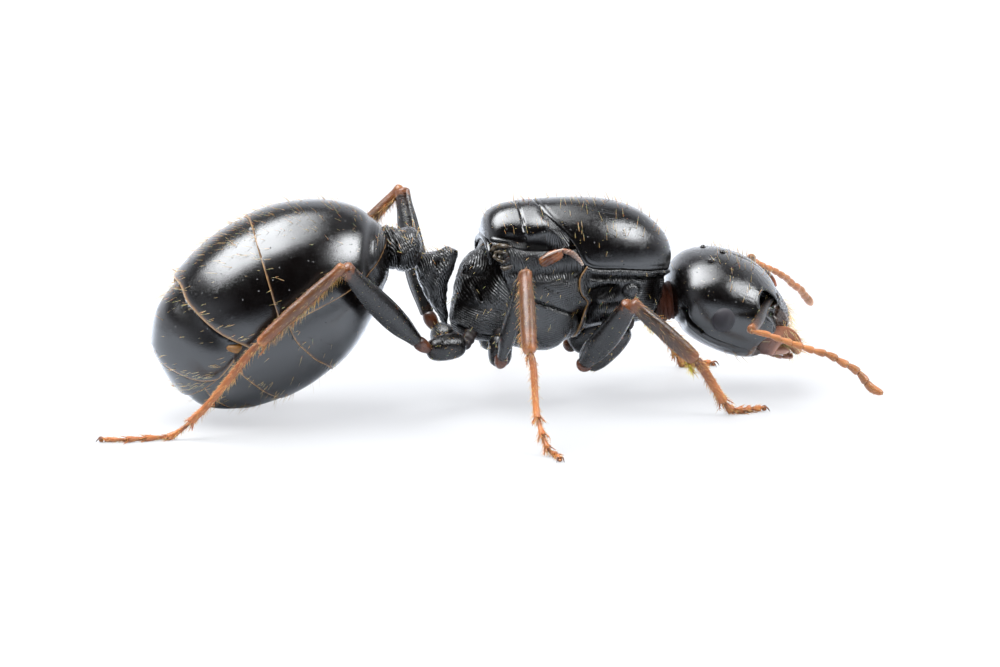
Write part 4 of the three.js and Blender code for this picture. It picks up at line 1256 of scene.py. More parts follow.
def pronotumRibs(table):
    # Ribs that run to the neck in front and down behind
    x, z = table[:, 0], table[:, 2]
    warp = 0.04 * ripple(table[:, spot], 0.8, 31)
    front = ease(x, 2.9, 3.2)
    return ribsOf(0.06, (z + 0.25 * x + warp, 0.7 * front),
                  (x + 0.3 * z + warp, 0.35 * (1 - front)))


# Where each suture's own side lies
sutures = {"scutum": (0.7, 0.7), "scutellum": (0, 1), "propodeum": (-1, 0), "pronotum": (1, 0)}

# Each plate's part of the trunk's length and points round it, the side it keeps of each suture,
# its relief and its ribs
plates = {
    "mesoscutum": dict(
        shares=endShares(250, 0.18, 0.94), sides=330, cuts=dict(scutum=1), relief=scutumRelief),
    "scutellum": dict(
        shares=endShares(240, 0.0, 0.5), sides=330, cuts=dict(scutum=-1, scutellum=1),
        relief=scutellumRelief, ribs=scutellumRibs),
    "propodeum": dict(
        shares=endShares(190, 0.0, 0.45), sides=300, cuts=dict(scutum=-1, scutellum=-1,
        propodeum=1), relief=propodeumRelief, ribs=propodeumRibs),
    "mesopleuron": dict(
        shares=endShares(260, 0.08, 0.75), sides=330, cuts=dict(scutum=-1, scutellum=-1,
        propodeum=-1, pronotum=-1), relief=mesopleuronRelief, ribs=mesopleuronRibs),
    "pronotum": dict(
        shares=endShares(240, 0.25, 1.0), sides=320, cuts=dict(scutum=-1, pronotum=1),
        relief=pronotumRelief, ribs=pronotumRibs),
}


def makeTrunk():
    # The plates cut by their sutures. Only the pronotum has a pale edge
    for index, (name, plate) in enumerate(plates.items()):
        table, faces = railSurface(trunk, plate["shares"], plate["sides"])
        edges = [side * beyond(table, trunk[suture], sutures[suture])
                 for suture, side in plate["cuts"].items()]
        edge = np.min(edges, axis=0)
        pale = edges[-1] if name == "pronotum" else edge + 9
        # The depth mark comes back as the hollow mark, which dims the plate's reflections in its
        # grooves: painted shade
        surface, edge, hollow = cutBy(table, faces, edges, plate["relief"](table, edge), pale)
        smooth = name in ("mesoscutum", "scutellum")
        look = ("bodyShell", "glossy_shell") if smooth else ("ribbedShell", "striped_shell")
        marks = plate["ribs"](surface[0]) if "ribs" in plate else {}
        makePlate(name, surface, edge, *look, trunk, trunk["rimWidth"], hollow=hollow, **marks)
        if smooth:
            top = ease(surface[0][:, upward], -0.1, 0.6) + 0.05
            large = name == "mesoscutum"
            growHairs("domeHair", "trunk", surface, 90 if large else 34, (-0.25, 0, 1.0),
                      (40 + index, 60 + index), top)
            growHairs("domeDown", "trunk", surface, 110 if large else 40, (-1, 0, -0.3),
                      (70 + index, 80 + index), top)
        else:
            growHairs("sideDown", "trunk", surface, 40, (-0.5, 0, -0.8), (40 + index, 60 + index))
    makeCore("trunk_membrane", trunk, 70, trunk["coreDepth"])


# Waist: two knots between the trunk and the gaster, and the neck

waist = {
    "petiole": dict(
        upper=[(-1.3, 1.95), (-1.27, 2.15), (-1.3, 2.46), (-1.3, 2.82), (-1.2, 3.18),
        (-1.08, 3.49), (-1.03, 3.72), (-1.1, 3.82), (-1.3, 3.86)], lower=[(-1.3, 1.95),
        (-1.42, 2.05), (-1.7, 2.48), (-1.88, 2.85), (-2.02, 3.22), (-2.0, 3.54), (-1.85, 3.72),
        (-1.55, 3.76), (-1.3, 3.86)], halfWidths=[0.28, 0.3, 0.33, 0.42, 0.5], squareness=1.0,
        bluntness=2.0, soften=0.012),
    "postpetiole": dict(
        upper=[(-2.88, 4.0), (-2.88, 4.35), (-2.75, 4.48), (-2.6, 4.42), (-2.37, 4.32),
        (-2.17, 4.38), (-1.98, 4.22), (-1.9, 3.9), (-1.92, 3.72)], lower=[(-2.88, 4.0),
        (-2.85, 3.55), (-2.54, 3.36), (-2.3, 3.35), (-2.08, 3.42), (-1.96, 3.56), (-1.92, 3.72)],
        halfWidths=[0.5, 0.62, 0.66, 0.62, 0.5], squareness=1.0, bluntness=2.0, soften=0.012),
}
neck = dict(
    path=[(3.6, 0, 2.22), (4.0, 0, 2.3), (4.4, 0, 2.36)], form=[(0, 0.6), (0.12, 1.0), (0.5, 0.9),
    (0.85, 0.86), (1, 0.6)], width=0.5, flatness=1.15, rings=90, sides=90,
    ridge=folds(0.03, 7, 0.9))


def petioleRelief(table):
    # A groove along each side, a dent in the top, and a rough skin
    points = table[:, spot]
    groove = crease(table, [(-1.5, 2.2), (-1.72, 2.9), (-1.6, 3.5)], 0.09, 0.04)
    dent = swell(table, (-1.55, 0.35, 3.6), (0.16, 0.3, 0.1), -0.06)
    return groove + dent + 0.014 * ripple(points, 0.22, 42) + 0.006 * ripple(points, 0.1, 45)


def postpetioleRelief(table):
    # A ringed rear and a round boss in front
    points = table[:, spot]
    boss = swell(table, (-2.12, 0.2, 4.2), (0.16, 0.25, 0.16), 0.04)
    ring = crease(table, [(-2.66, 4.6), (-2.6, 4.0), (-2.56, 3.3)], 0.05, 0.06)
    return boss + ring + 0.014 * ripple(points, 0.25, 44) + 0.006 * ripple(points, 0.1, 46)


def waistRibs(table):
    # Ribs that climb the knots
    x, z = table[:, 0], table[:, 2]
    warp = 0.05 * ripple(table[:, spot], 0.6, 41)
    return ribsOf(0.07, (x + 0.45 * z + warp, 0.8 + 0 * x))


def makeWaist():
    for name, relief in (("petiole", petioleRelief), ("postpetiole", postpetioleRelief)):
        surface = railSurface(waist[name], endShares(170), 200)
        heights = relief(surface[0])
        surface = raised(*surface, heights)
        # The hollow mark dims reflections in the knots' grooves: painted shade
        makePiece(name, surface, "ribbedShell", "striped_shell", hollow=depthMark(heights),
                  **waistRibs(surface[0]))
        top = ease(surface[0][:, upward], -0.2, 0.5)
        growHairs("knotHair", name, surface, 34, (-0.6, 0, 0.3), (700, 701), top)
    makeLimb("neck", limbSurface(**neck), "neckSkin", "neck")


# Head: worked out upright, then leaned about its own length

headLean = {"pivot": (5.3, 0.0, 2.25), "axis": (0.94, 0.0, -0.34), "angle": 0.14}

head = {
    "upper": [
        (4.12, 2.55), (4.15, 2.89), (4.28, 3.19), (4.55, 3.41), (4.89, 3.5), (5.38, 3.5),
        (5.93, 3.32), (6.3, 3.09), (6.6, 2.8), (6.78, 2.45), (6.95, 2.12), (7.02, 1.92),
        (6.95, 1.75)],
    "lower": [
        (4.12, 2.55), (4.15, 2.13), (4.29, 1.8), (4.56, 1.52), (5.03, 1.23), (5.61, 1.0),
        (6.03, 0.95), (6.25, 1.02), (6.4, 1.25), (6.7, 1.55), (6.95, 1.75)],
    "halfWidths": [1.4, 1.47, 1.5, 1.46, 1.3],
    "squareness": 0.92,
    "bluntness": 3.3,
    "soften": 0.014,
    "steps": 270,
    "sides": 340,
    "cheekGroove": [
        (4.2, 2.6), (4.26, 2.44), (4.38, 2.2), (4.66, 1.93), (5.02, 1.71), (5.42, 1.56),
        (5.94, 1.38)],
    "cheekEdge": [
        (5.9, 0.9), (5.98, 1.34), (6.03, 1.48), (6.08, 1.63), (6.27, 1.79), (6.47, 1.86),
        (6.48, 2.0), (6.34, 2.2), (6.18, 2.36), (6.08, 2.5), (6.04, 2.64), (6.1, 2.8),
        (6.22, 2.89),
        (6.4, 2.79), (6.58, 2.62), (6.73, 2.44), (7.2, 1.97)],
    "eye": (5.2, -1.38, 2.3),
    "eyeHalfSizes": (0.305, 0.215, 0.325),
    "facetsAcross": 30,
    "ocelli": [(5.03, 0.48), (5.03, -0.48), (5.42, 0.0)],
    "ocellusRadius": 0.07,
}
lobeForm = [(0, 0.4), (0.4, 1), (0.8, 0.9), (1, 0.5)]
sockets = {
    "condyle": dict(centre=(6.6, -0.62, 2.5), halfSizes=(0.09, 0.1, 0.09), rings=16, sides=20),
    "lobe": dict(
        path=[(6.1, -0.72, 2.88), (6.38, -0.7, 2.78), (6.56, -0.63, 2.62), (6.64, -0.58, 2.46)],
        form=lobeForm, width=0.07, flatness=0.8),
    # The left lobe stands out a little further
    "leftLobe": dict(
        path=[(6.16, 0.75, 2.8), (6.5, 0.7, 2.74), (6.74, 0.6, 2.58), (6.87, 0.54, 2.36)],
        form=lobeForm, width=0.08, flatness=0.8),
}
jaw = {
    "blade": dict(
        path=[(6.14, -0.94, 1.47), (6.42, -0.97, 1.53), (6.7, -0.86, 1.51), (6.92, -0.62, 1.43),
        (7.03, -0.34, 1.28), (7.07, -0.06, 1.14)], form=[(0, 0.5), (0.15, 0.74), (0.4, 0.96),
        (0.62, 1.0), (0.85, 0.88), (1, 0.74)], width=0.45, across=(-0.6, -0.8, 0), flatness=0.2,
        rings=120, sides=90, cap=0.3),
    "teeth": 7,
    "firstTooth": (7.06, -0.12, 1.44),
    "toothStep": (0.01, 0.0, -0.105),
    "toothReach": (0.06, 0.13, -0.07),
    "lastDrop": (0.0, 0.0, -0.05),        # the last tooth points further down
    "tooth": dict(
        form=[(0, 1), (0.5, 0.75), (1, 0.15)], width=0.05, flatness=0.8, rings=10, sides=12),
}
tongueForm = [(0, 0.5), (0.3, 1), (0.8, 0.9), (1, 0.5)]
mouth = {
    "lobe": dict(
        path=[(5.98, -0.6, 1.29), (6.4, -0.66, 1.23), (6.85, -0.5, 1.15), (7.0, -0.3, 1.1)],
        form=tongueForm, width=0.13, flatness=1.5, rings=50, sides=40),
    "tongue": dict(
        path=[(6.0, 0, 1.08), (6.6, 0, 1.04), (7.08, 0, 1.0)], form=tongueForm, width=0.15,
        flatness=2.0, rings=50, sides=40),
    "feelers": [
        [(6.5, -0.45, 1.04), (6.75, -0.5, 0.96), (6.98, -0.46, 0.92), (7.16, -0.38, 0.9)],
        [(6.85, -0.16, 0.94), (7.05, -0.2, 0.88), (7.2, -0.17, 0.86)]],
    "joints": 4,
    "joint": dict(
        form=[(0, 0.5), (0.2, 0.72), (0.6, 0.98), (0.8, 1.0), (1, 0.7)], width=0.045,
        across=(0, 0, 1), rings=16, sides=16, cap=0.6),
}


def leaned(surface):
    # A surface of the head turned by the lean about its pivot
    table, faces = surface
    table = table.copy()
    axis, pivot = unit(headLean["axis"]), headLean["pivot"]
    cosine, sine = np.cos(headLean["angle"]), np.sin(headLean["angle"])
    for columns, origin in ((spot, pivot), (facing, (0, 0, 0))):
        rows = table[:, columns] - origin
        table[:, columns] = (rows * cosine + np.cross(axis, rows) * sine
                             + np.outer(rows @ axis, axis) * (1 - cosine)) + origin
    return table, faces


def carved(table, faces):
    # The face in front of the cheeks stands back from them: past the cheek's edge the half
    # width goes down to a set one, over a short way
    past = beyond(table, head["cheekEdge"], (1, -1))
    y, z = np.abs(table[:, 1]), table[:, 2]
    target = 0.78 - 0.04 * ease(z, 1.75, 1.95) - 0.2 * ease(z, 2.3, 2.55)
    narrow = np.minimum(y, target + 0.12 * y)
    table = table.copy()
    table[:, 1] = np.sign(table[:, 1]) * (y + (narrow - y) * ease(past, 0.0, 0.16))
    table[:, facing] = normalsOf(table[:, spot], faces)
    return table, past


def headRelief(table, past):
    # Grooves and ribs of the cheeks, the clypeus with its shield, the brow's fine ribs, and the
    # wells that the ocelli stand in
    points = table[:, spot]
    x, y, z = table[:, 0], np.abs(table[:, 1]), table[:, 2]
    outer = ease(y, 0.75, 1.0) * (past < 0)
    cheek = head["cheekGroove"]
    lip = [(a + 0.03, b - 0.11) for a, b in cheek]
    fading = 1 - 0.7 * ease(x, 5.0, 5.8)
    rear = [(4.26, 2.44), (4.42, 2.16), (4.7, 1.92)]
    groove = outer * fading * (crease(table, cheek, 0.035, 0.075) + crease(table, lip, 0.05, -0.02)
                               + crease(table, rear, 0.06, 0.06))
    bead = band(past, -0.05, 0.04, 0.012) * ease(y, 0.8, 1.0)
    furrow = (crease(table, [(5.7, 0.0), (6.2, 0.0), (6.5, 0.0)], 0.05, 0.02, fromAbove)
              * ease(z, 2.6, 2.8))
    clypeus = crease(table, [(6.72, 2.62), (6.62, 2.35), (6.55, 2.15), (6.45, 1.95)], 0.04, 0.04)
    shield = swell(table, (6.95, 0.0, 2.15), (0.3, 0.6, 0.35), 0.05)
    warp = 0.05 * ripple(points, 0.9, 51) + 0.012 * ripple(points, 0.25, 52)
    face = ease(past, 0.08, 0.2)
    nearFace = ease(past, -0.5, -0.1) * ease(2.4 - z, 0, 0.3) * ease(z, 1.6, 1.8)
    malar = (striae(z + 0.55 * x + 0.3 * warp, 0.075, 0.02) * (0.5 * nearFace + face)
             * ease(6.6 - x, 0, 0.2))
    grain = ((0.008 * ripple(points, 0.06, 54) + striae(z + 0.3 * x + 0.3 * warp, 0.06, 0.009))
             * ease(x, 6.5, 6.6) * ease(z, 1.8, 1.95) * ease(2.7 - z, 0, 0.15))
    front = ease(x, 5.3, 6.0) * ease(z, 2.5, 2.8)
    browRibs = (striae(y + 0.12 * x + warp, 0.05, 0.0035) + 0.002 * ripple(points, 0.1, 55)) * front
    nape = band(x, 4.32, 0.07, -0.05) * ease(2.9 - z, 0, 0.4)
    throat = (crease(table, [(4.4, 0.0), (6.2, 0.0)], 0.06, 0.04, fromAbove)
              * ease(1.7 - z, 0, 0.3))
    wells = sum(band(np.hypot(x - a, table[:, 1] - b), 0, 0.1, -0.03) for a, b in head["ocelli"])
    wells = wells * ease(z, 3.0, 3.2)
    return (groove + bead + furrow + clypeus + shield + malar + grain + browRibs + nape
            + throat + wells)


def eyeSurface():
    # An egg with rows of small domes on a honeycomb: three cosine waves sixty degrees apart
    table, faces = egg(head["eye"], head["eyeHalfSizes"], 150, 220)
    offset = (table[:, spot] - head["eye"]) / head["eyeHalfSizes"]
    flat = offset[:, [0, 2]] * head["facetsAcross"] / 2 * 2 * np.pi / 1.1547
    waves = sum(np.cos(flat @ (np.cos(turn), np.sin(turn))) for turn in np.radians([0, 60, 120]))
    facets = 0.0022 * waves * ease(-offset[:, 1], 0.05, 0.4)
    return raised(table, faces, facets)


def spikeSurface(root, tip, **form):
    # A straight spike from a root to a tip
    return limbSurface([root, (root + tip) / 2, tip], **form)


def jawSurface():
    # A broad curved blade with a row of teeth along its inner margin
    table, faces = limbSurface(**jaw["blade"])
    points = table[:, spot]
    field = points[:, 2] + 0.1 * points[:, 0] + 0.03 * ripple(points, 0.5, 61)
    ribs = striae(field, 0.055, 0.012) * ease(table[:, lengthwise], 0.05, 0.2)
    parts = [raised(table, faces, ribs)]
    for index in range(jaw["teeth"]):
        root = np.array(jaw["firstTooth"]) + np.multiply(jaw["toothStep"], index)
        tip = root + jaw["toothReach"]
        if index == jaw["teeth"] - 1:
            tip = tip + jaw["lastDrop"]
        parts.append(spikeSurface(root, tip, **jaw["tooth"]))
    return joined(*parts)


def mouthSurface():
    # Two side lobes, the tongue between them, and two pairs of jointed feelers
    lobe = limbSurface(**mouth["lobe"])
    parts = [lobe, mirrored(lobe), limbSurface(**mouth["tongue"])]
    for path in mouth["feelers"]:
        fine, count = curveAt(path, np.linspace(0, 1, 400), 0.01), mouth["joints"]
        ends = [np.linspace(joint, joint + 1.25, 12) / count for joint in range(count)]
        chain = joined(*(limbSurface(evenly(fine, np.clip(shares, 0, 1)), **mouth["joint"])
                         for shares in ends))
        parts += [chain, mirrored(chain)]
    return joined(*parts)


def makeCapsule():
    # The head's shell, and its upright table for the parts that stand on it
    table, faces = railSurface(head, endShares(head["steps"]), head["sides"])
    table, past = carved(table, faces)
    heights = headRelief(table, past)
    capsule = leaned(raised(table, faces, heights))
    x, z = table[:, 0], table[:, 2]
    # The cheek's lower corner and the underside run out into red horn. The face's shield gets the
    # horn tint too: partly its own brownish tone, partly a painted lightening for the light its
    # grain catches
    corner = ease(2.0 - z, 0.1, 0.6) * np.maximum(band(past, -0.03, 0.1, 0.8),
                                                        0.6 * ease(past, 0.0, 0.1))
    under = 0.55 * ease(1.32 - z, 0, 0.2) * ease(x, 5.3, 5.8)
    shield = 0.5 * ease(past, 0.05, 0.15) * ease(x, 6.45, 6.6) * ease(z, 1.8, 1.9)
    # Painted shade: reflections are dimmed in the hollow that the antenna stands in, and in the
    # head's grooves
    shadow = (0.8 * ease(past, 0.0, 0.06) * ease(z, 2.5, 2.62)
              * ease(6.66 - x, 0, 0.12))
    makePiece("head_capsule", capsule, "headShell", "glossy_shell",
              rim=np.maximum.reduce([corner, under, shield]),
              hollow=np.maximum(depthMark(heights), shadow))
    return capsule, table


def makeHead():
    # The capsule, then the parts that stand on it, all leaned with it
    capsule, upright = makeCapsule()
    condyle, lobe = egg(**sockets["condyle"]), limbSurface(**sockets["lobe"], sides=24)
    socket = joined(condyle, mirrored(condyle), lobe, limbSurface(**sockets["leftLobe"], sides=24))
    makeLimb("antenna_sockets", leaned(socket), "socketHorn", "scape")
    blades = dict(bothSides(jawSurface()))
    for side, eye in bothSides(eyeSurface()):
        makeLimb("eye_" + side, leaned(eye), "eyeFacets", "eye")
        makeLimb("mandible_" + side, leaned(blades[side]), "jawHorn", "mandible")
    parts = leaned(mouthSurface())
    makeLimb("mouthparts", parts, "mouthSkin", "mouthparts")
    x, z, up = upright[:, 0], upright[:, 2], upright[:, upward]
    glass = []
    for ocellusX, ocellusY in head["ocelli"]:
        gap = np.hypot(x - ocellusX, upright[:, 1] - ocellusY)
        near = np.argmin(gap + 5 * (up < 0.2))
        centre = upright[near, spot] - 0.02 * upright[near, facing]
        glass.append(leaned(egg(centre, [head["ocellusRadius"]] * 3, 20, 28)))
    makeLimb("ocelli", joined(*glass), "ocellusGlass", "eye")

    brow = ease(x, 4.9, 5.6) * ease(z, 2.5, 3.1) + 0.02
    growHairs("browHair", "head", capsule, 60, (-0.2, 0, 1), (801, 802),
              (ease(up, -0.2, 0.5) + 0.1) * brow)
    growHairs("headDown", "head", capsule, 420, (1, 0, -0.2), (803, 804))
    fringe = ease(x, 6.7, 6.9) * ease(z, 1.6, 1.9) * (z < 2.1)
    growHairs("fringe", "head", capsule, 80, (0.2, 0, -1), (805, 806), fringe)
    chin = ease(-up, 0.5, 0.8) * ease(x, 5.0, 5.6)
    growHairs("chinHair", "head", capsule, 60, (1, 0, -0.4), (807, 808), chin)
    for index, part in enumerate(blades.values()):
        onBlade = (ease(part[0][:, lengthwise], 0.3, 0.5)
                   * (0.25 + ease(part[0][:, 2], 1.5, 1.8)))
        growHairs("jawHair", f"jaw{index}", leaned(part), 240, (0.6, 0, -0.7),
                  (809 + index, 811 + index), onBlade)
    growHairs("mouthHair", "mouth", parts, 90, (1, 0, -0.2), (813, 814))


# Legs and antennae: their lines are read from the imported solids


def nodePoints(name):
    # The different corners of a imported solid
    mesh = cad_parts[name].data
    points = np.empty(len(mesh.vertices) * 3, np.float32)
    mesh.vertices.foreach_get("co", points)
    return np.unique(fromScene(points.reshape(-1, 3)).round(4), axis=0)


def farthest(points, start):
    # The point that lies farthest from the start
    return points[np.argmax(np.linalg.norm(points - start, axis=1))]


def spineOf(points, start, group=12):
    # The middle line of a tube of points: its points in order of their way from the start,
    # averaged a ring or two at a time, with the true ends added
    tip = farthest(points, start)
    order = np.argsort((points - start) @ (tip - start))
    count = len(points) // group
    middles = [chunk.mean(0) for chunk in np.array_split(points[order], count)]
    return np.vstack([start, middles[1:-1], tip])


legWidths = {
    "coxa": dict(fore=0.4, mid=0.31, hind=0.32),
    "trochanter": dict(fore=0.2, mid=0.17, hind=0.17),
    "femur": dict(fore=0.305, mid=0.25, hind=0.275),
    "tibia": dict(fore=0.205, mid=0.21, hind=0.165),
    "tarsus": dict(fore=0.125, mid=0.095, hind=0.1),
    "spur": dict(fore=0.0525, mid=0.035, hind=0.035),
}
legForms = {
    "coxa": dict(
        form=[(0, 0.4), (0.15, 0.85), (0.4, 1), (0.7, 0.95), (0.9, 0.74), (1, 0.5)], flatness=0.92,
        rings=70, sides=36),
    "trochanter": dict(
        form=[(0, 0.62), (0.25, 0.8), (0.6, 1), (1, 0.75)], flatness=0.95, rings=36, sides=30,
        cap=0.8),
    "femur": dict(
        form=[(0, 0.5), (0.08, 0.62), (0.25, 0.92), (0.45, 1), (0.7, 0.86), (0.9, 0.7),
        (0.97, 0.72), (1, 0.62)], flatness=0.82, rings=90, sides=72, cap=0.55),
    "tibia": dict(
        form=[(0, 0.6), (0.04, 0.85), (0.1, 0.76), (0.3, 0.92), (0.6, 1), (0.88, 0.94),
        (0.96, 0.82), (1, 0.58)], flatness=0.88, rings=80, sides=36, cap=0.6),
}
legBows = {"femur": 0.03, "tibia": -0.012}
hipRing = dict(form=[(0, 0.8), (0.3, 1), (1, 1)], rings=60, sides=36, ridge=folds(0.06, 5))
foot = {
    "jointEnds": (0.54, 0.68, 0.79, 0.88, 1.0),
    "jointWidths": (1.0, 0.82, 0.78, 0.74, 0.66),
    "firstForm": [(0, 0.6), (0.1, 0.9), (0.5, 0.88), (0.85, 0.86), (1, 1.05)],
    "jointForm": [(0, 0.5), (0.12, 0.56), (0.5, 0.72), (0.9, 1.12), (1, 0.95)],
    "lastForm": [(0, 0.5), (0.3, 0.62), (0.8, 0.95), (1, 0.8)],
    "joint": dict(flatness=0.9, sides=20, cap=0.4),
    "spine": dict(form=[(0, 1), (0.6, 0.7), (1, 0.2)], width=0.016, rings=6, sides=8),
    "spineLength": 0.2,
    "solidSole": 0.162,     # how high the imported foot's middle line lies over the floor
    "liftedFrom": 0.6,      # the height past which the foot's line stays as it is
    "floorGap": 0.003,
}
claw = {"reach": 0.19, "spread": 0.09,
        "hook": dict(form=[(0, 1), (0.4, 0.85), (0.8, 0.45), (1, 0.12)], width=0.027, sides=12),
        "pad": dict(halfSizes=(0.06, 0.05, 0.04), rings=12, sides=16)}
spurLengths = dict(fore=0.42, mid=0.34, hind=0.36)
bristleCounts = dict(fore=110, mid=240, hind=300)


def footSpine(points, ankle, sole):
    # The foot's middle line, lowered so that the thinner foot stands on the floor
    spine = curveAt(spineOf(points, ankle), np.linspace(0, 1, 120), 0.02)
    low, high = foot["solidSole"], foot["liftedFrom"]
    height = spine[:, 2]
    lowered = sole + (height - low) * (high - sole) / (high - low)
    spine[:, 2] = np.where(height < high, np.maximum(lowered, sole), height)
    return spine


def tarsusSurface(spine, width, across):
    # Five joints, each flaring to a slanted end with a crown of short spines
    parts, start = [], 0.0
    for end, share in zip(foot["jointEnds"], foot["jointWidths"]):
        first, last = start == 0.0, end == 1.0
        form = foot["firstForm"] if first else foot["lastForm"] if last else foot["jointForm"]
        shares = np.clip(np.linspace(start - 0.004, end + 0.008, 20), 0, 1)
        parts.append(limbSurface(evenly(spine, shares), form, width * share, across,
                                 rings=40 if first else 20, **foot["joint"]))
        before, middle = evenly(spine, [end - 0.03, end])
        ahead = unit(middle - before)
        rise = unit(np.cross(across, ahead))
        sideways = unit(np.cross(ahead, rise))
        for turn in [] if last else np.linspace(0, 2 * np.pi, 8, endpoint=False):
            away = rise * np.cos(turn) + sideways * np.sin(turn)
            if away[2] < 0.55:      # none on top
                root = middle - ahead * 0.03 + away * width * share * 0.75
                tip = root + (ahead * 0.8 + away * 0.55) * foot["spineLength"]
                tip[2] = max(tip[2], 0.012)
                parts.append(spikeSurface(root, tip, across=away, **foot["spine"]))
        start = end
    table, faces = joined(*parts)
    table[:, 2] = np.maximum(table[:, 2], foot["floorGap"])
    return table, faces


def clawSurface(spine):
    # Two hooks that part from the last joint and curve down to the floor, with a pad between
    before, toe = evenly(spine, [0.94, 1.0])
    ahead = unit((toe - before) * (1, 1, 0))
    parts = []
    for side in (-np.cross((0, 0, 1), ahead), np.cross((0, 0, 1), ahead)):
        tip = toe + ahead * claw["reach"] + side * claw["spread"]
        tip[2] = 0.015
        path = [toe - ahead * 0.03, toe + ahead * 0.1 + side * 0.07 + (0, 0, 0.035),
                toe + ahead * (claw["reach"] - 0.04) + side * claw["spread"] * 0.85
                + (0, 0, -0.005), tip]
        parts.append(limbSurface(path, across=side, rings=24, **claw["hook"]))
    pad = toe + ahead * 0.07
    pad[2] = max(pad[2] - 0.03, 0.045)
    return joined(*parts, egg(pad, **claw["pad"]))


def legJoints(name):
    # A leg's hip, the end of its coxa, the start of its thigh, its knee and its ankle
    coxa, femur, tibia = (nodePoints(f"{part}_{name}") for part in ("coxa", "femur", "tibia"))
    one = farthest(coxa, coxa.mean(0))
    hip, coxaEnd = sorted((one, farthest(coxa, one)), key=lambda end: abs(end[1]))
    knee = farthest(femur, coxaEnd)
    thighTop = femur[np.argsort(np.linalg.norm(femur - coxaEnd, axis=1))[:4]].mean(0)
    return hip, coxaEnd, knee + (thighTop - knee) * 1.03, knee, farthest(tibia, knee)


def thighEdges(share, turn):
    # Two sharp edges that fade before the knee
    return 1 + band(np.sin(turn - 0.3), 0, 0.13, 0.13) * ease(1 - share, 0.05, 0.3)


def makeLeg(pair, side, seed):
    # One leg's pieces and hairs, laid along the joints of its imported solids
    name = f"{pair}_{side}"
    fore = pair == "fore"
    hip, coxaEnd, thighStart, knee, ankle = legJoints(name)
    across = unit(np.cross(knee - thighStart, ankle - knee))
    coxaWay, thighWay, ahead = unit(coxaEnd - hip), unit(knee - thighStart), unit(ankle - knee)
    below = unit(np.cross(across, ahead))
    if below[2] > 0:
        below = -below

    # A folded ring of skin joins the hip to the trunk
    core = unit(np.array([np.clip(hip[0], -0.2, 2.6), 0, 2.6]) - hip)
    ring = limbSurface([hip + coxaWay * 0.14, hip + coxaWay * 0.02, hip + core * 0.25,
                        hip + core * 0.6], width=legWidths["coxa"][pair] * 0.5, across=across,
                       **hipRing)
    makeLimb(f"hip_{name}", ring, "seamSkin", "leg_joint")
    paths = {
        "coxa": [hip, (hip + coxaEnd) / 2, coxaEnd + coxaWay * 0.03],
        "trochanter": [coxaEnd - coxaWay * 0.06, (coxaEnd + thighStart) / 2,
                       thighStart + thighWay * 0.12],
        "femur": [thighStart, knee],
        "tibia": [knee - ahead * 0.05, ankle],
    }
    parts = {}
    for part, path in paths.items():
        if part in legBows:
            lift = unit(np.cross(across, path[1] - path[0]))
            path.insert(1, (path[0] + path[1]) / 2 + lift * legBows[part])
        table, faces = limbSurface(path, width=legWidths[part][pair], across=across,
                                   ridge=thighEdges if part == "femur" else None, **legForms[part])
        parts[part] = raised(table, faces, 0.004 * ripple(table[:, spot], 0.5, seed))
    width = legWidths["tarsus"][pair]
    spine = footSpine(nodePoints(f"tarsus_{name}"), ankle - ahead * 0.05, width * 0.72)
    parts["tarsus"] = tarsusSurface(spine, width, across)
    looks = {"coxa": ("coxaShell", "dark_leg"), "trochanter": ("jointHorn", "leg_joint"),
             "femur": ("femurShell", "dark_leg"),
             "tibia": ("shinShell" if fore else "tawnyShin", "shin"),
             "tarsus": ("footShell", "foot")}
    for part, surface in parts.items():
        makeLimb(f"{part}_{name}", surface, *looks[part])
    makeLimb(f"claws_{name}", clawSurface(spine), "clawHorn", "foot")

    # The spur at the ankle, a curved comb on the fore legs
    root = ankle - ahead * 0.12 + below * legWidths["tibia"][pair] * 0.7
    tip = root + (ahead * 0.85 + below * 0.4) * spurLengths[pair]
    spur = limbSurface([root, (root + tip) / 2 + below * 0.05, tip], [(0, 1), (0.5, 0.8), (1, 0.2)],
                       legWidths["spur"][pair], across, 0.7, rings=30, sides=12)
    makeLimb(f"spur_{name}", spur, "spurHorn", "leg_joint")

    # Hairs lean towards the foot and grow denser and longer down the leg
    growHairs("comb" if fore else "spurDown", "spur" + name, spur, 130 if fore else 40,
              ahead * 0.8 + below * 0.7, (seed + 9, seed + 10))
    footWay = unit(spine[-1] - ankle)
    down = (("coxaDown", "coxa", 46, coxaWay), ("thighDown", "femur", 120, thighWay),
            ("shinDown", "tibia", 420, ahead), ("footDown", "tarsus", 640, footWay))
    for index, (kind, part, count, way) in enumerate(down):
        first = seed + 2 * index
        growHairs(kind, part + name, parts[part], count, way, (first, first + 1))
    shin, toes = parts["tibia"][0], parts["tarsus"][0]
    under = ease(shin[:, facing] @ below, 0.3, 0.8)
    if fore:
        under = under * ease(shin[:, lengthwise], 0.5, 0.95) + 0.05
    growHairs("shinBristle", "tibia" + name, parts["tibia"], bristleCounts[pair], ahead,
              (seed + 11, seed + 12), under)
    growHairs("footBristle", "tarsus" + name, parts["tarsus"], 260, footWay, (seed + 13, seed + 14),
              ease(toes[:, facing] @ below, 0.2, 0.7))


scape = dict(
    form=[(0, 0.7), (0.03, 0.85), (0.08, 0.55), (0.2, 0.72), (0.5, 0.92), (0.85, 1.02), (1, 0.95)],
    width=0.118, across=(0, 0, 1), rings=90, sides=32, soften=0.03)
funicle = {
    "count": 11,
    "width": 0.095,
    "bead": dict(across=(0, 0, 1), rings=22),
    "beadForm": [(0, 0.45), (0.12, 0.62), (0.5, 0.92), (0.8, 1.0), (1, 0.72)],
    "lastForm": [(0, 0.6), (0.15, 0.9), (0.5, 1.0), (0.8, 0.8), (1, 0.4)],
    "lifts": {"right": 0.0, "left": 0.09},      # how far the chain rises close to its elbow
}


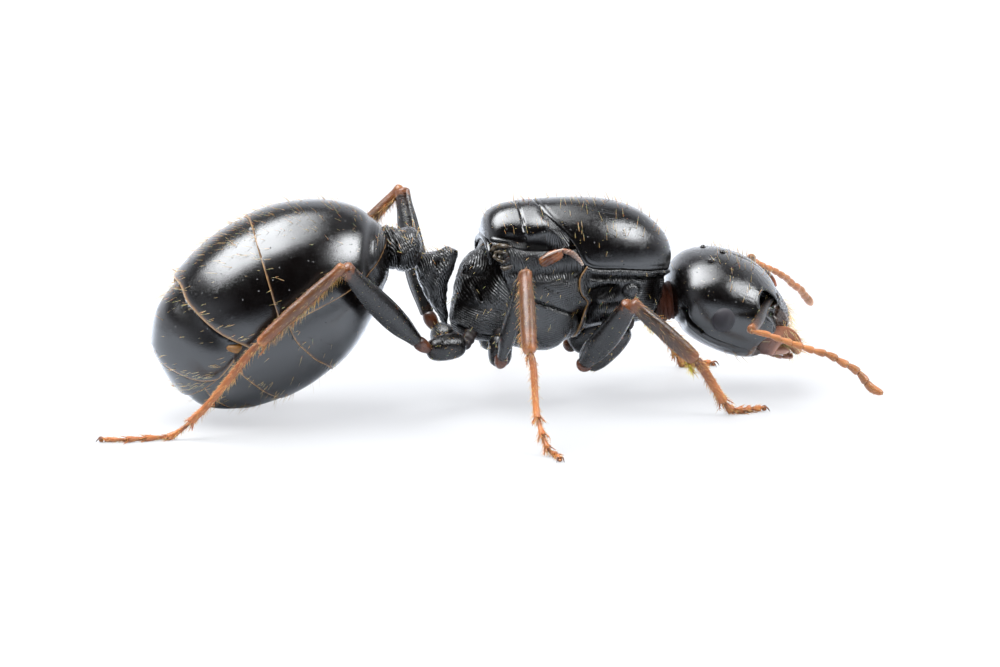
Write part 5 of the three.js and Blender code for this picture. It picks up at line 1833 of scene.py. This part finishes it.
def makeAntenna(side, seed):
    # The scape, and a chain of beads that grow longer and wider to the tip
    scapePoints, chainPoints = nodePoints("scape_" + side), nodePoints("funicle_" + side)
    tip = farthest(chainPoints, scapePoints.mean(0))
    one = farthest(scapePoints, scapePoints.mean(0))
    ends = [one, farthest(scapePoints, one)]
    elbow = min(ends, key=lambda end: np.min(np.linalg.norm(chainPoints - end, axis=1)))
    root = max(ends, key=lambda end: np.linalg.norm(end - elbow))
    shaft = limbSurface(spineOf(scapePoints, root, 10), **scape)
    makeLimb("scape_" + side, shaft, "scapeShell", "scape")
    shares = np.linspace(0, 1, 300)
    spine = curveAt(spineOf(chainPoints, elbow), shares, 0.03)
    spine[:, 2] += band(shares, 0.1, 0.09, funicle["lifts"][side])
    count = funicle["count"]
    joints = np.cumsum([0, 1.5, *(0.85 + 0.02 * np.arange(count - 2)), 1.6])
    joints /= joints[-1]
    beads = []
    for index, (start, end) in enumerate(zip(joints[:-1], joints[1:])):
        table, faces = limbSurface(
            evenly(spine, np.clip(np.linspace(start - 0.004, end + 0.012, 14), 0, 1)),
            funicle["beadForm" if index < count - 1 else "lastForm"],
            funicle["width"] * (0.78 + 0.36 * index / count), **funicle["bead"])
        table[:, lengthwise] = start + table[:, lengthwise] * (end - start)
        beads.append((table, faces))
    chain = joined(*beads)
    makeLimb("funicle_" + side, chain, "beadShell", "funicle")
    growHairs("scapeDown", "scape" + side, shaft, 130, unit(elbow - root), (seed, seed + 1))
    growHairs("beadDown", "funicle" + side, chain, 1500, unit(tip - elbow), (seed + 2, seed + 3))


# Scars where the wings were: two horny lobes on each side, and a hollow ring behind them


scars = {
    "lobe": dict(
        path=[(0.7, -1.2, 3.62), (0.88, -1.22, 3.72), (1.08, -1.22, 3.81), (1.26, -1.22, 3.86)],
        form=[(0, 0.7), (0.3, 1), (0.7, 0.95), (1, 0.6)], width=0.15, flatness=0.7, rings=70,
        sides=48),
    "strip": dict(
        path=[(1.24, -1.25, 3.93), (1.44, -1.27, 3.86), (1.61, -1.26, 3.72), (1.74, -1.25, 3.54)],
        form=[(0, 0.8), (0.4, 1), (1, 0.4)], width=0.075, flatness=0.8, rings=50, sides=30),
    "edge": dict(
        path=[(0.72, -1.25, 3.74), (0.88, -1.3, 3.85), (1.08, -1.3, 3.93), (1.26, -1.28, 3.97)],
        form=[(0, 0.5), (0.5, 1), (1, 0.6)], width=0.03, rings=40, sides=12),
    # The hind wing's stub: a ring round a plug sunk in the side, a ridge over it, one below
    "centre": (-0.17, -0.93, 3.77),
    "outward": (-0.35, -0.9, 0.25),
    "rim": dict(form=[(0, 0.9), (0.3, 1), (0.6, 0.6), (1, 0.9)], width=0.055, rings=90, sides=16),
    "plug": dict(halfSizes=(0.09, 0.05, 0.09), rings=24, sides=30),
    "ridge": dict(
        path=[(-0.4, -0.72, 3.86), (-0.29, -0.82, 3.99), (-0.12, -0.9, 4.03), (0.08, -0.98, 4.0)],
        form=[(0, 0.5), (0.4, 1), (1, 0.5)], width=0.06, sides=20),
    "lowRidge": dict(
        path=[(-0.22, -0.98, 3.52), (-0.08, -1.02, 3.5), (0.08, -1.06, 3.56)], form=[(0, 0.5),
        (0.5, 1), (1, 0.6)], width=0.055, rings=40, sides=16),
    # A shining strip of the back shows behind the shield
    "metanotum": dict(
        path=[(-0.4, -0.8, 3.56), (-0.4, -0.7, 3.86), (-0.38, -0.3, 4.04), (-0.38, 0.3, 4.04),
        (-0.4, 0.7, 3.86), (-0.4, 0.8, 3.56)], form=[(0, 0.6), (0.3, 1), (0.7, 1), (1, 0.6)],
        width=0.085, across=(1, 0, 0), rings=120),
}


def wingStump():
    # The fore wing's stump: a folded lobe and strip, coloured one after the other, and an edge
    # along the top painted pale as a highlight
    lobe, strip, edge = (limbSurface(**scars[part]) for part in ("lobe", "strip", "edge"))
    lobe[0][:, lengthwise] *= 0.5
    strip[0][:, lengthwise] = 0.5 + strip[0][:, lengthwise] / 2
    # The edge takes the pale end of the colours: a painted highlight
    edge[0][:, lengthwise] = 0.95
    table, faces = joined(lobe, strip)
    field = table[:, 0] * 0.6 - table[:, 2] + 0.04 * ripple(table[:, spot], 0.3, 9)
    return joined(raised(table, faces, striae(field, 0.08, 0.02)), edge)


def hindScar():
    # A ring of uneven width round a plug, between two ridges
    centre, out = np.array(scars["centre"]), unit(scars["outward"])
    first = unit(np.cross((0, 0, 1), out))
    second = np.cross(out, first)
    turns = np.linspace(0, 2 * np.pi, 40)[:, None]
    uneven = 0.13 + 0.025 * np.cos(2 * turns + 0.6)
    ring = centre + uneven * (np.cos(turns) * first + np.sin(turns) * second)
    table, faces = joined(limbSurface(ring, across=out, **scars["rim"]),
                          egg(centre - 0.03 * out, **scars["plug"]),
                          limbSurface(**scars["ridge"]), limbSurface(**scars["lowRidge"]))
    return raised(table, faces, 0.02 * ripple(table[:, spot], 0.13, 91))


def makeScars():
    for side, part in bothSides(wingStump()):
        makeLimb("wing_stump_" + side, part, "scarSkin", "wing_scar")
    for side, part in bothSides(hindScar()):
        makeLimb("hind_wing_scar_" + side, part, "oliveScar", "wing_scar")
    makePiece("metanotum", limbSurface(**scars["metanotum"]), "bodyShell", "glossy_shell")


# Floor and light


floorLook = {"reach": 1200, "drop": 0.002, "lit": (0.54, 0.57, 0.62), "seen": (0.1, 0.1, 0.1),
             "glowColor": (0.96, 0.97, 1.0, 1), "glow": 0.57, "roughness": 0.55, "density": 1.4}


def buildFloor():
    # A wide pale square
    mesh = bpy.data.meshes.new("floor")
    reach = floorLook["reach"] * mm
    low = sceneMiddle[2] - floorLook["drop"] * mm
    corners = [(x * reach, y * reach, low) for x, y in ((-1, -1), (1, -1), (1, 1), (-1, 1))]
    mesh.from_pydata(corners, [], [(0, 1, 2, 3)])
    floor = bpy.data.objects.new("floor", mesh)
    bpy.context.scene.collection.objects.link(floor)
    material = bpy.data.materials.new("paleFloor")
    material.use_nodes = True
    tree = material.node_tree
    # The camera sees it half lit from within, so that its shadows stay pale
    seen = addNode(tree, "LightPath").outputs[0]
    setInputs(tree, tree.nodes["Principled BSDF"],
              Base_Color=blendNode(tree, seen, floorLook["lit"], floorLook["seen"]),
              Emission_Color=floorLook["glowColor"], Roughness=floorLook["roughness"],
              Emission_Strength=mathNode(tree, "MULTIPLY", seen, floorLook["glow"]),
              IOR=floorLook["density"])
    mesh.materials.append(material)


def buildSky():
    # The room as the shell mirrors it: pale behind the ant, dark on the near side, and white
    # where it is seen straight on
    world = bpy.data.worlds.new("studio")
    bpy.context.scene.world = world
    world.use_nodes = True
    tree = world.node_tree
    way = addNode(tree, "TexCoord")
    parts = addNode(tree, "SeparateXYZ", at0=way.outputs["Generated"])
    depth = rangeNode(tree, parts.outputs[1], -0.35, 0.35)
    room = blendNode(tree, depth, (0.02, 0.02, 0.022), (1.15, 1.2, 1.3))
    left = rangeNode(tree, parts.outputs[0], -0.6, -0.95)
    room = blendNode(tree, left, room, (0.95, 1.0, 1.1))
    # Over the far wall, past a dark slanting gap, hangs a dim ceiling
    slant = addNode(tree, "VectorMath", operation="DOT_PRODUCT", at0=way.outputs["Generated"],
                    at1=(0.75, 1.0, -1.16)).outputs[1]
    low = rangeNode(tree, parts.outputs[2], 0.45, 0.3)
    wall = mathNode(tree, "MAXIMUM", rangeNode(tree, slant, 0.04, 0.1, 0.0, 0.7), low)
    ceiling = mathNode(tree, "MULTIPLY", rangeNode(tree, slant, -0.08, -0.13, 0.0, 0.42),
                       rangeNode(tree, parts.outputs[0], -0.75, -0.4, 0.2, 1.0))
    height = mathNode(tree, "MAXIMUM", mathNode(tree, "MULTIPLY", wall, 1.6), ceiling)
    room = addNode(tree, "VectorMath", operation="SCALE", at0=room, at3=height).outputs[0]
    seen = addNode(tree, "LightPath").outputs[0]
    shown = blendNode(tree, seen, room, (1.0, 1.0, 1.0))
    tree.links.new(shown, tree.nodes["Background"].inputs[0])


bpy.context.scene.view_settings.view_transform = "Standard"
buildLamps()
buildFloor()
buildSky()
print("stage built")
makeGaster()
print("gaster built")
makeTrunk()
print("trunk built")
makeWaist()
makeHead()
print("head built")
for index, pair in enumerate(("fore", "mid", "hind")):
    for turn, side in enumerate(("right", "left")):
        makeLeg(pair, side, 1000 + 100 * index + 50 * turn)
print("legs built")
makeAntenna("right", 1400)
makeAntenna("left", 1450)
makeScars()
makeCoats()
